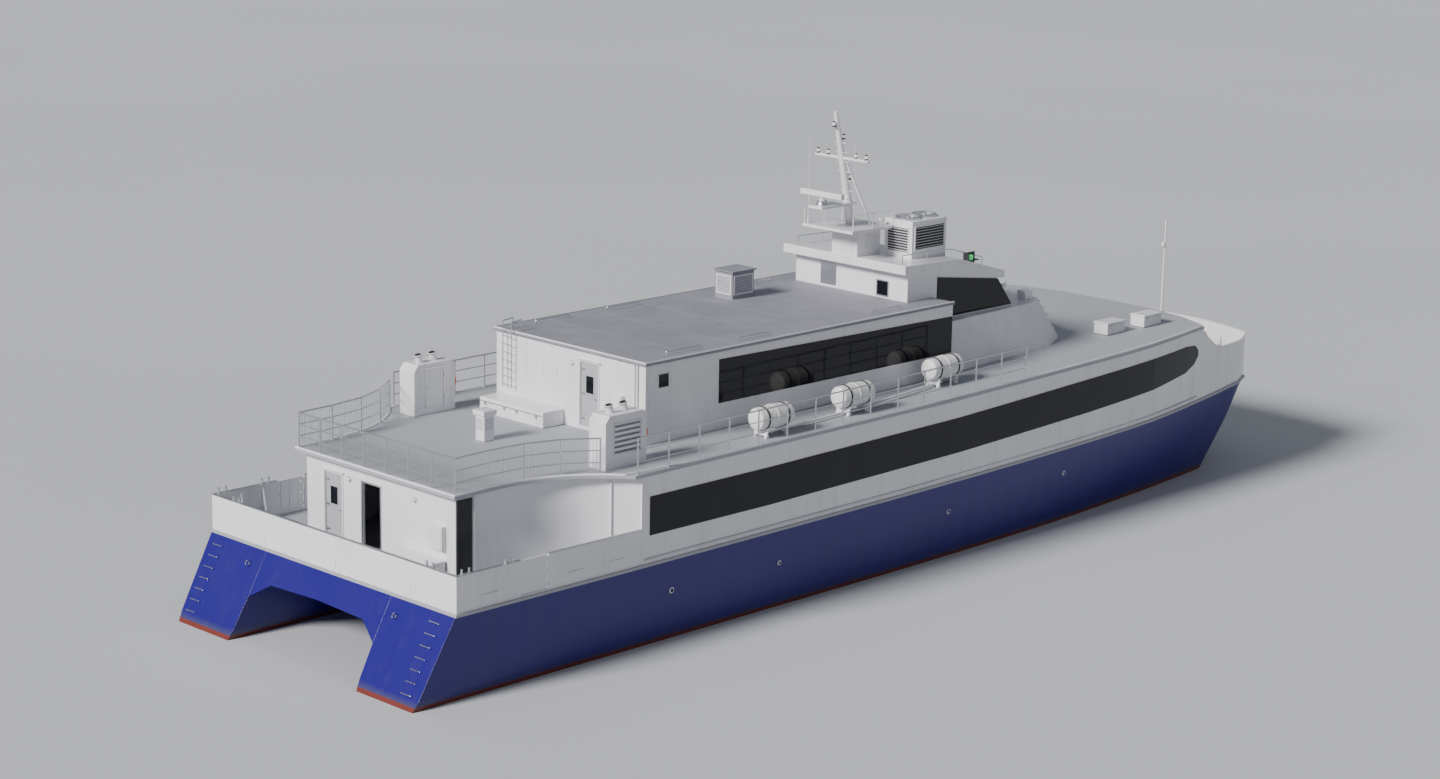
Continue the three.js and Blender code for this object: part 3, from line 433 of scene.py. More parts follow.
@dataclass(frozen=True)
class Dull:
    """Rubber, moulded plastic or cloth: one colour that wanders, with a fine grain."""

    name: str
    colour: Colour
    other: Colour
    roughness: float = 0.6
    grain: float = 40.0
    depth: float = 0.002
    sheen: float = 0.0

    def make(self) -> bpy.types.Material:
        """Builds the material."""
        material, tree, shader, where = started(self.name)
        patch = ramped(tree, noise(tree, where, 1.7, 4.0), 0.35, 0.7)
        tree.links.new(blended(tree, patch, self.colour, self.other), shader.inputs["Base Color"])
        bumped(tree, shader, noise(tree, where, self.grain, 3.0), self.depth)
        shader.inputs["Roughness"].default_value = self.roughness
        shader.inputs["Sheen Weight"].default_value = self.sheen
        return material


@dataclass(frozen=True)
class Lamp:
    """A lamp lens with a faint glow."""

    name: str
    colour: Colour
    glow: float = 0.6
    roughness: float = 0.15

    def make(self) -> bpy.types.Material:
        """Builds the material."""
        material, tree, shader, where = started(self.name)
        ribs = ramped(tree, noise(tree, where, 30.0, 1.0), 0.3, 0.7)
        paler = tuple(min(1.0, c * 1.3 + 0.05) for c in self.colour)
        for label in ("Base Color", "Emission Color"):
            tree.links.new(blended(tree, ribs, self.colour, paler), shader.inputs[label])
        shader.inputs["Emission Strength"].default_value = self.glow
        shader.inputs["Roughness"].default_value = self.roughness
        return material


class Finish(Enum):
    """Every finish on the ship."""

    HULL = HullPaint("hull_blue_gloss", (0.012, 0.004, 0.17), 0.3, (0.035, 0.03, 0.11), 0.25, 0.1, coat=0.05)
    WHITE = Paint("superstructure_white", (0.80, 0.80, 0.83))
    ROOF = DeckPaint("roof_grey", (0.235, 0.235, 0.275), (0.29, 0.29, 0.33), 0.7)
    DECK = DeckPaint("deck_grey", (0.22, 0.22, 0.25), (0.28, 0.28, 0.31))
    GLASS = TintedGlass("tinted_glazing")
    DOOR = Paint("door_grey", (0.40, 0.41, 0.44), 0.4)
    LINING = Paint("cabin_lining", (0.52, 0.51, 0.48), 0.6, streaks=0.08, wave=0.1, coat=0.0)
    METAL = Metal("salted_aluminium", (0.62, 0.63, 0.66), (0.40, 0.41, 0.42))
    STEEL = Metal("polished_rail", (0.70, 0.71, 0.73), (0.50, 0.50, 0.50), 0.22)
    RAIL = Metal("rail_pipe", (0.66, 0.67, 0.69), (0.46, 0.46, 0.47), 0.3)
    IMPELLER = Metal("impeller_metal", (0.52, 0.42, 0.28), (0.30, 0.28, 0.22))
    RUBBER = Dull("black_rubber", (0.012, 0.012, 0.013), (0.03, 0.03, 0.032), 0.7)
    DARK = Dull("dark_moulding", (0.02, 0.021, 0.024), (0.035, 0.036, 0.04), 0.5)
    # near-black: soot, and painted shade for the hollow inside the exhaust pipes that it closes
    SOOT = Dull("soot_and_painted_shade", (0.008, 0.008, 0.008), (0.02, 0.019, 0.018), 0.9)
    SEAT = Dull("seat_cloth", (0.025, 0.055, 0.16), (0.035, 0.075, 0.20), 0.9, 180.0, 0.001, 0.3)
    CANISTER = Dull("canister_white", (0.82, 0.82, 0.82), (0.72, 0.72, 0.71), 0.45, 25.0, 0.0015)
    ORANGE = Dull("lifebuoy_orange", (0.80, 0.16, 0.02), (0.70, 0.13, 0.02), 0.55)
    RED = Lamp("port_lamp_red", (0.7, 0.02, 0.02))
    GREEN = Lamp("starboard_lamp_green", (0.02, 0.55, 0.12))
    CLEAR = Lamp("lamp_lens", (0.8, 0.8, 0.75), 0.4)

    def material(self) -> bpy.types.Material:
        """The finish's material, built the first time it is used."""
        return bpy.data.materials.get(self.value.name) or self.value.make()


# Shapes in bmesh


def block(bm: BMesh, low: Point, high: Point, bevel: float = 0.0, segments: int = 2) -> None:
    """Adds a box between two corners, with rounded edges if a bevel is given."""
    size = Vector(high) - Vector(low)
    middle = (Vector(high) + Vector(low)) / 2
    verts = bmesh.ops.create_cube(bm, size=1.0)["verts"]
    bmesh.ops.scale(bm, vec=size, verts=verts)
    bmesh.ops.translate(bm, vec=middle, verts=verts)
    if bevel > 0:
        soften(bm, {e for v in verts for e in v.link_edges}, bevel, segments)


def soften(bm: BMesh, edges: Iterable[BMEdge], width: float, segments: int = 2) -> None:
    """Bevels edges with a round profile."""
    bmesh.ops.bevel(
        bm, geom=list(edges), offset=width, offset_type="OFFSET", segments=segments, profile=0.5,
        affect="EDGES", material=-1, clamp_overlap=True,
    )


def rod(
    bm: BMesh, start: Point | Vector, end: Point | Vector, radius: float, tip: float | None = None,
    sides: int = 12,
) -> None:
    """Adds a round bar between two points, tapering to its tip if one is given."""
    a, b = Vector(start), Vector(end)
    turn = (b - a).to_track_quat("Z", "Y").to_matrix().to_4x4()
    bmesh.ops.create_cone(
        bm, cap_ends=True, cap_tris=False, segments=sides, radius1=radius,
        radius2=radius if tip is None else tip, depth=(b - a).length,
        matrix=Matrix.Translation((a + b) / 2) @ turn,
    )


def pipe(bm: BMesh, points: Sequence[Point], radius: float, sides: int = 8) -> None:
    """Adds a pipe through points, with a ball at each bend."""
    for a, b in zip(points, points[1:]):
        rod(bm, a, b, radius, sides=sides)
    for p in points[1:-1]:
        ball(bm, p, radius, sides)


def ball(bm: BMesh, centre: Point, radius: float, sides: int = 12) -> None:
    """Adds a ball."""
    rings = max(4, sides // 2)
    place = Matrix.Translation(Vector(centre))
    bmesh.ops.create_uvsphere(bm, u_segments=sides, v_segments=rings, radius=radius, matrix=place)


def prism(bm: BMesh, outline: Sequence[Point], along: Point, bevel: float = 0.0) -> None:
    """Adds a flat outline drawn out along a vector, its edges chamfered if a bevel is given."""
    verts = [bm.verts.new(p) for p in outline]
    face = bm.faces.new(verts)
    drawn = bmesh.ops.extrude_face_region(bm, geom=[face])["geom"]
    moved = [g for g in drawn if isinstance(g, BMVert)]
    bmesh.ops.translate(bm, vec=along, verts=moved)
    every = set(verts) | set(moved)
    bmesh.ops.recalc_face_normals(bm, faces=list({f for v in every for f in v.link_faces}))
    if bevel > 0:
        soften(bm, {e for v in every for e in v.link_edges if all(w in every for w in e.verts)}, bevel, 1)


def turned(bm: BMesh, profile: Sequence[Plan], centre: Point, axis: str, steps: int = 32) -> None:
    """Spins a closed or axis-to-axis profile of (distance along the axis, radius) points."""
    turns = {"X": ((1, 0, 0), (0, 0, 1)), "Y": ((0, 1, 0), (0, 0, 1)), "Z": ((0, 0, 1), (1, 0, 0))}
    line, out = (Vector(v) for v in turns[axis])
    before = set(bm.verts)
    verts = [bm.verts.new(Vector(centre) + line * a + out * r) for a, r in profile]
    edges = [bm.edges.new(pair) for pair in zip(verts, verts[1:])]
    if profile[0][1] > 1e-6:
        edges.append(bm.edges.new((verts[-1], verts[0])))
    bmesh.ops.spin(
        bm, geom=verts + edges, cent=centre, axis=line, angle=2 * math.pi, steps=steps, use_merge=True,
        use_duplicate=False,
    )
    bmesh.ops.remove_doubles(bm, verts=[v for v in bm.verts if v not in before], dist=1e-5)


def pad(bm: BMesh, low: Point, high: Point) -> None:
    """Adds a crowned cushion that fills a box."""
    before = set(bm.verts)
    verts = bmesh.ops.create_cube(bm, size=1.0)["verts"]
    edges = list({e for v in verts for e in v.link_edges})
    bmesh.ops.subdivide_edges(bm, edges=edges, cuts=2, use_grid_fill=True)
    every = [v for v in bm.verts if v not in before]
    for _ in range(2):
        bmesh.ops.smooth_vert(bm, verts=every, factor=0.5, use_axis_x=True, use_axis_y=True, use_axis_z=True)
    reach = max(abs(v.co.x) for v in every) * 2
    size = Vector(high) - Vector(low)
    bmesh.ops.scale(bm, vec=size / reach, verts=every)
    bmesh.ops.translate(bm, vec=(Vector(high) + Vector(low)) / 2, verts=every)


def repeated(bm: BMesh, unit: BMesh, shifts: Iterable[Point]) -> None:
    """Adds a copy of a unit shape at each shift, and frees the unit."""
    mesh = bpy.data.meshes.new("unit")
    unit.to_mesh(mesh)
    unit.free()
    place = Vector()
    for shift in shifts:
        mesh.transform(Matrix.Translation(Vector(shift) - place))
        place = Vector(shift)
        bm.from_mesh(mesh)
    bpy.data.meshes.remove(mesh)


def copied(node: str) -> BMesh:
    """A merged copy of a CAD node's mesh, its flat faces whole again, with x from the transom."""
    bm = bmesh.new()
    bm.from_mesh(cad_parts[node].data)
    bmesh.ops.translate(bm, vec=(AMIDSHIPS, 0, 0), verts=bm.verts)
    bmesh.ops.remove_doubles(bm, verts=bm.verts, dist=2e-4)
    bmesh.ops.dissolve_limit(bm, angle_limit=math.radians(0.02), verts=bm.verts, edges=bm.edges)
    return bm


def sharp_edges(bm: BMesh, degrees: float) -> list[BMEdge]:
    """The edges whose two faces meet at more than an angle."""
    limit = math.radians(degrees)
    return [e for e in bm.edges if len(e.link_faces) == 2 and e.calc_face_angle(0.0) > limit]


@dataclass
class Workshop:
    """Turns bmeshes into finished pieces of the ship."""

    made: list[str] = field(default_factory=list)
    smooth: float = 32.0  # edges that meet at fewer degrees are shaded smooth

    def piece(
        self, name: str, bm: BMesh, finish: Finish, body: str = SHIP, replaces: Sequence[str] = (),
    ) -> None:
        """Finishes a bmesh as a named piece.

        Args:
            name: the piece's name.
            bm: its shape, with x from the transom; it is freed here.
            finish: what it is painted with.
            body: the CAD body that it moves with.
            replaces: the CAD nodes that it stands for.
        """
        bmesh.ops.recalc_face_normals(bm, faces=bm.faces)
        bmesh.ops.translate(bm, vec=(-AMIDSHIPS, 0, 0), verts=bm.verts)
        mesh = bpy.data.meshes.new(name)
        bm.to_mesh(mesh)
        bm.free()
        for polygon in mesh.polygons:
            polygon.use_smooth = True
        mesh.set_sharp_from_angle(angle=math.radians(self.smooth))
        piece = bpy.data.objects.new(name, mesh)
        bpy.context.scene.collection.objects.link(piece)
        shading = piece.modifiers.new("shading", "WEIGHTED_NORMAL")
        shading.keep_sharp = True
        mesh.materials.append(finish.material())
        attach(piece, body)
        if replaces:
            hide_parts(*replaces)
        self.made.append(name)

    def eased(
        self, node: str, finish: Finish, body: str = SHIP, width: float = 0.015, angle: float = 30.0,
        ahead: float = math.inf,
    ) -> None:
        """Stands a copy of a CAD node with eased edges in its place.

        Args:
            node: the node's name.
            finish: what it is painted with.
            body: the CAD body that it moves with.
            width: how wide its eased edges are.
            angle: edges that turn by less stay as they are.
            ahead: edges that reach further forward than this stay sharp.
        """
        bm = copied(node)
        soften(bm, [e for e in sharp_edges(bm, angle) if max(v.co.x for v in e.verts) < ahead], width)
        self.piece(f"{node}_finished", bm, finish, body, (node,))


# Lines of the ship that its fittings follow


@dataclass(frozen=True)
class Line:
    """A line along the ship as (x, value) rows, straight between them."""

    rows: tuple[Plan, ...]

    def at(self, x: float) -> float:
        """The line's value at x."""
        pairs = list(zip(self.rows, self.rows[1:]))
        (x0, v0), (x1, v1) = next((p for p in pairs if x <= p[1][0]), pairs[-1])
        return v0 + (v1 - v0) * (x - x0) / (x1 - x0)


HALF_BEAM = 5.55
AFT_DECK = 2.5  # the main deck's height abaft the house
DECK = Line(((-1.4, 2.5), (6.0, 2.5), (18.0, 2.56), (26.5, 2.70), (31.0, 2.83), (34.3, 2.96), (38.05, 3.10)))
UPPER = Line(((-2.0, 5.01), (1.5, 5.08), (6.9, 5.18), (20.0, 5.24), (30.0, 5.44), (33.5, 5.55), (39.0, 5.58)))
EDGE = Line((  # the deck edge's half-breadth
    (-1.4, 5.55), (18.0, 5.55), (26.5, 5.525), (29.0, 5.49), (31.0, 5.43), (32.7, 5.28), (34.3, 5.06),
    (35.7, 4.85), (37.2, 4.58), (38.05, 4.25),
))
SIDE_FOOT = Line(((-1.4, 5.44), (6.0, 5.44), (18.0, 5.40), (26.5, 5.18), (31.0, 4.82)))  # the chine's
ROOF_CROWN = Line(((21.1, 8.95), (23.8, 8.87), (25.6, 8.35), (27.4, 7.88)))  # the wheelhouse roof's height


def house_line(facets: int = 7) -> list[Plan]:
    """The aft house's outer line, from full beam to starboard round to full beam to port."""
    a, b, c = Vector((2.9, 3.36)), Vector((5.45, 3.36)), Vector((6.9, HALF_BEAM))
    turns = [i / facets for i in range(facets + 1)]
    sweep = [a * (1 - t) ** 2 + b * 2 * t * (1 - t) + c * t * t for t in turns]
    port = [(1.82, 3.36)] + [(p.x, p.y) for p in sweep]
    return [(x, -y) for x, y in reversed(port)] + port


def offset(path: Sequence[Plan], distance: float) -> list[Plan]:
    """Moves a plan line to its right, with mitred corners.

    Args:
        path: the line's points.
        distance: how far; to its left if negative.

    Returns:
        The moved points.
    """
    rights = [Vector((b[1] - a[1], a[0] - b[0])).normalized() for a, b in zip(path, path[1:])]
    moved = []
    for i, point in enumerate(path):
        before, after = rights[max(0, i - 1)], rights[min(i, len(rights) - 1)]
        reach = (before + after) * (distance / (1 + before.dot(after)))
        moved.append((point[0] + reach.x, point[1] + reach.y))
    return moved


def on(line: Line, path: Iterable[Plan], above: float = 0.0) -> list[Point]:
    """Stands plan points on a deck line."""
    return [(x, y, line.at(x) + above) for x, y in path]


def across(side: Side, inner: float, outer: float) -> Span:
    """The span between two half-breadths on a side, the lower y first."""
    low, high = sorted((side.value * inner, side.value * outer))
    return low, high


# Fittings that come more than once


def surround(bm: BMesh, x: Span, y: Span, z: Span, width: float, axis: str, bevel: float = 0.006) -> None:
    """Adds a raised frame round an opening.

    Args:
        bm: where to.
        x: the opening's span, or the frame's own depth where it faces along X.
        y: the same across the ship.
        z: the opening's height span.
        width: the frame's width in its own plane.
        axis: "X" or "Y", the way the frame faces.
        bevel: how round its edges are.
    """
    flat = y if axis == "X" else x
    wide = (flat[0] - width, flat[1] + width)
    bars = ((wide, (z[0] - width, z[0])), (wide, (z[1], z[1] + width)),
            ((flat[0] - width, flat[0]), z), ((flat[1], flat[1] + width), z))
    for (a0, a1), (z0, z1) in bars:
        if axis == "X":
            block(bm, (x[0], a0, z0), (x[1], a1, z1), bevel)
        else:
            block(bm, (a0, y[0], z0), (a1, y[1], z1), bevel)


def slats(bm: BMesh, x: Span, y: Span, z: Span, count: int, tilt: float = 0.5) -> None:
    """Fills a rectangle with level slats that slope outwards; the shallow one of x and y is their depth."""
    pitch = (z[1] - z[0]) / count
    middle = Vector(((x[0] + x[1]) / 2, (y[0] + y[1]) / 2, 0.0))
    level = x[1] - x[0] > y[1] - y[0]
    for i in range(count):
        verts = bmesh.ops.create_cube(bm, size=1.0)["verts"]
        bmesh.ops.scale(bm, vec=(x[1] - x[0], y[1] - y[0], 0.012), verts=verts)
        turn = Matrix.Rotation(tilt if level else -tilt, 3, "X" if level else "Y")
        bmesh.ops.rotate(bm, cent=(0, 0, 0), matrix=turn, verts=verts)
        bmesh.ops.translate(bm, vec=middle + Vector((0, 0, z[0] + (i + 0.5) * pitch)), verts=verts)


def bolts(bm: BMesh, centre: Point, radius: float, count: int, axis: str, head: float = 0.012) -> None:
    """Adds a ring of bolt heads round a centre."""
    for i in range(count):
        a, b = (radius * f(2 * math.pi * i / count) for f in (math.cos, math.sin))
        step = {"X": (0, a, b), "Y": (a, 0, b), "Z": (a, b, 0)}[axis]
        along = {"X": (head, 0, 0), "Y": (0, head, 0), "Z": (0, 0, head)}[axis]
        low = Vector(centre) + Vector(step) - Vector(along) / 2
        rod(bm, low, low + Vector(along), head, sides=6)


def swept(bm: BMesh, path: Sequence[Point], section: Sequence[Plan]) -> None:
    """Carries a section of (right, up) points along a path, with mitred corners."""
    rights = [Vector((b[1] - a[1], a[0] - b[0])).normalized() for a, b in zip(path, path[1:])]
    rings = []
    for i, point in enumerate(path):
        before, after = rights[max(0, i - 1)], rights[min(i, len(rights) - 1)]
        reach = (before + after) / (1 + before.dot(after))
        rings.append([Vector(point) + Vector((reach.x * a, reach.y * a, b)) for a, b in section])
    cap = face = bm.faces.new([bm.verts.new(co) for co in rings[0]])
    for ring, following in zip(rings, rings[1:]):
        drawn = bmesh.ops.extrude_face_region(bm, geom=[face])["geom"]
        if face is not cap:
            bmesh.ops.delete(bm, geom=[face], context="FACES_ONLY")
        face = next(g for g in drawn if isinstance(g, BMFace))
        for vert in face.verts:
            nearest = min(range(len(ring)), key=lambda i: (vert.co - ring[i]).length_squared)
            vert.co = following[nearest]


def half_round(width: float, height: float, low: float) -> list[Plan]:
    """A capping's section: flat underneath, upright at its sides and crowned on top."""
    side = 0.35  # the share of its height that stands upright
    crown = [(width / 2 * math.cos(a), low + height * (side + (1 - side) * math.sin(a))) for a in
             (math.pi * i / 6 for i in range(7))]
    return [(-width / 2, low), (width / 2, low)] + crown


def lifebuoy(bm: BMesh, centre: Point, axis: str) -> None:
    """Adds a lifebuoy that faces along an axis."""
    turns = [2 * math.pi * i / 12 for i in range(12)]
    ring = [(0.045 * math.sin(a), 0.28 + 0.055 * math.cos(a)) for a in turns]
    turned(bm, ring, centre, axis, 28)


def bulkhead_lamp(shop: Workshop, name: str, place: Point) -> None:
    """Adds a caged lamp to a wall that faces astern."""
    x, y, z = place
    out = -1
    lens, cage = bmesh.new(), bmesh.new()
    ball(lens, (x + out * 0.03, y, z), 0.055, 14)
    base = [(0.0, 0.0), (0.0, 0.085), (out * 0.02, 0.085), (out * 0.03, 0.06), (out * 0.03, 0.0)]
    turned(cage, base, (x, y, z), "X", 20)
    reach, spread = 0.08, 0.068  # the cage's bars over the lens
    for angle in (0.0, math.pi / 2):
        arc = [(x + out * (0.02 + reach * math.sin(t)), y + spread * math.cos(t) * math.cos(angle),
                z + spread * math.cos(t) * math.sin(angle)) for t in (math.pi * i / 6 for i in range(7))]
        pipe(cage, arc, 0.005, 6)
    shop.piece(f"{name}_lens", lens, Finish.CLEAR)
    shop.piece(f"{name}_cage", cage, Finish.METAL)


@dataclass(frozen=True)
class Railing:
    """A guard rail of round pipe, its posts on round feet."""

    height: float = 1.05
    rows: int = 3
    bar: float = 0.021
    post: float = 0.025
    spacing: float = 1.0
    baluster: float = 0.0  # the pitch of thin uprights between the posts, if there are any

    def run(self, bm: BMesh, path: Sequence[Plan], line: Line) -> None:
        """Adds the rail along a plan line that stands on a deck line."""
        for row in range(1, self.rows + 1):
            radius = self.bar * (1.15 if row == self.rows else 0.8)
            pipe(bm, on(line, path, self.height * row / self.rows), radius, 10)
        self.uprights(bm, self.stations(path, self.spacing), line, self.post, True)
        if self.baluster:
            self.uprights(bm, self.stations(path, self.baluster), line, 0.007, False)

    @staticmethod
    def stations(path: Sequence[Plan], spacing: float) -> list[Vector]:
        """Even stations along a plan line, with each corner once."""
        points = [Vector(path[0])]
        for a, b in zip(path, path[1:]):
            start, end = Vector(a), Vector(b)
            count = max(1, round((end - start).length / spacing))
            points += [start.lerp(end, (i + 1) / count) for i in range(count)]
        return points

    def uprights(self, bm: BMesh, points: Iterable[Vector], line: Line, radius: float, feet: bool) -> None:
        """Adds an upright at each point, with a foot if it carries the rail."""
        for p in points:
            z = line.at(p.x)
            rod(bm, (p.x, p.y, z + (0.004 if feet else 0.10)), (p.x, p.y, z + self.height), radius,
                sides=10 if feet else 5)
            if feet:
                rod(bm, (p.x, p.y, z + 0.002), (p.x, p.y, z + 0.014), 0.05, 0.046, 12)


@dataclass(frozen=True)
class HingedDoor:
    """A weathertight door leaf in a wall that stands across the ship."""

    node: str
    body: str
    x: float
    y: float
    floor: float
    half: float = 0.392
    height: float = 1.934
    sill: float = 0.128
    window_half: float = 0.165
    window: Span = (1.015, 1.545)  # over the leaf's foot

    def build(self, shop: Workshop) -> None:
        """Makes the leaf with its stiffeners, window, handles and hinges, and the frame on the wall."""
        low = self.floor + self.sill
        x, y, top = self.x + 0.02, self.y, low + self.height
        leaf = bmesh.new()
        block(leaf, (x, y - self.half, low), (x + 0.045, y + self.half, top), 0.012)
        for z in (low + 0.35, low + 0.75):
            block(leaf, (x - 0.008, y - 0.30, z - 0.02), (x + 0.004, y + 0.30, z + 0.02), 0.006)
        surround(leaf, (x - 0.01, x + 0.004), (y - 0.16, y + 0.16), (low + 1.02, low + 1.54), 0.04, "X")
        shop.piece(f"{self.node}_leaf", leaf, Finish.DOOR, self.body, (self.node,))
        pane = bmesh.new()
        bottom, head = (low + z for z in self.window)
        for face in (x - 0.004, x + 0.042):
            low_corner = (face, y - self.window_half, bottom)
            block(pane, low_corner, (face + 0.007, y + self.window_half, head), 0.003)
        shop.piece(f"{self.node}_window", pane, Finish.GLASS, self.body)
        works = bmesh.new()
        hinge_y, lever_y, lever_z = y + self.half - 0.026, y - 0.30, low + 0.88
        rod(works, (x + 0.01, hinge_y, low + 0.002), (x + 0.01, hinge_y, top - 0.002), 0.014, sides=12)
        for z in (low + 0.22, low + 0.97, low + 1.72):
            rod(works, (x + 0.01, hinge_y, z - 0.06), (x + 0.01, hinge_y, z + 0.06), 0.025, sides=16)
            block(works, (x - 0.006, hinge_y - 0.16, z - 0.03), (x + 0.002, hinge_y - 0.01, z + 0.03), 0.003)
        rod(works, (x - 0.028, lever_y, lever_z), (x + 0.01, lever_y, lever_z), 0.016)
        rod(works, (x - 0.034, lever_y - 0.05, lever_z), (x - 0.034, lever_y + 0.10, lever_z + 0.01), 0.011)
        ball(works, (x - 0.034, lever_y + 0.10, lever_z + 0.01), 0.014)
        shop.piece(f"{self.node}_handle_and_hinges", works, Finish.STEEL, self.body)
        rim, wall = bmesh.new(), self.x
        clear = self.half + 0.016
        opening = (y - clear, y + clear)
        surround(rim, (wall - 0.028, wall + 0.004), opening, (low - 0.006, top + 0.012), 0.05, "X")
        block(rim, (wall - 0.05, y - 0.46, low - 0.056), (wall + 0.02, y + 0.46, low - 0.020), 0.008)
        block(rim, (wall - 0.09, y - 0.50, top + 0.085), (wall + 0.004, y + 0.50, top + 0.10), 0.004)
        shop.piece(f"{self.node}_frame", rim, Finish.WHITE)


# The sub-assemblies


@dataclass
class Hulls:
    """The two hulls and the bridging structure, with what is fixed to their plating."""

    outlets: tuple[Point, ...] = (
        (8.1, 1.50, 0.06), (12.6, 1.42, 0.045), (20.4, 1.55, 0.06), (26.3, 1.75, 0.05),
    )
    anodes: tuple[float, ...] = (3.0, 9.5, 16.0, 22.0)
    rungs: int = 7
    rung_y: float = 4.95
    rung_half: float = 0.2
    rung_pitch: float = 0.3
    rung_foot: float = 0.35
    rake: float = 1.4  # how far the transom's foot stands abaft the deck edge
    chine: float = 0.3
    edge_drop: float = 0.08  # how far the plating's head lies below the deck line
    stem: float = 37.0

    def build(self, shop: Workshop) -> None:
        """Makes the plating and its fittings."""
        shop.eased("bridge_structure", Finish.HULL, width=0.010)
        for side in Side:
            shop.eased(f"hull_{side.word}", Finish.HULL, width=0.008, ahead=self.stem)
            self.dress_side(shop, side)
        self.dress_transom(shop)

    def skin(self, x: float, z: float) -> float:
        """The outer plating's half-breadth at a height between the chine and the deck edge."""
        foot, head = SIDE_FOOT.at(x), EDGE.at(x)
        return foot + (head - foot) * (z - self.chine) / (DECK.at(x) - self.edge_drop - self.chine)

    def dress_side(self, shop: Workshop, side: Side) -> None:
        """Adds the discharge outlets and the zinc anodes."""
        metal = bmesh.new()
        for x, z, r in self.outlets:
            y = self.skin(x, z) * side.value
            ring = [(-0.03, r), (-0.03, r + 0.035), (0.012, r + 0.035), (0.018, r + 0.015), (0.03, r + 0.012),
                    (0.03, r)]
            turned(metal, [(a * side.value, b) for a, b in ring], (x, y, z), "Y", 24)
        for x in self.anodes:
            y = (SIDE_FOOT.at(x) - 0.10) * side.value
            block(metal, (x - 0.16, y - 0.03, -0.2), (x + 0.16, y + 0.03, -0.08), 0.02)
        shop.piece(f"outlets_{side.word}", metal, Finish.METAL)

    def dress_transom(self, shop: Workshop) -> None:
        """Adds boarding rungs to each hull's raked transom, and eyes for a tow line."""
        metal = bmesh.new()
        for side in Side:
            y0, y1 = (side.value * (self.rung_y + step) for step in (-self.rung_half, self.rung_half))
            for i in range(self.rungs):
                z = self.rung_foot + i * self.rung_pitch
                x = self.rake * (z / AFT_DECK - 1)
                out, up = x - 0.085, z + 0.05
                pipe(metal, [(x + 0.01, y0, z), (out, y0, up), (out, y1, up), (x + 0.01, y1, z)], 0.012)
            turned(metal, [(-0.02, 0.05), (-0.02, 0.09), (0.02, 0.09), (0.02, 0.05)],
                   (-0.35, side.value * 3.35, 2.02), "Y", 20)
        shop.piece("transom_rungs", metal, Finish.STEEL)


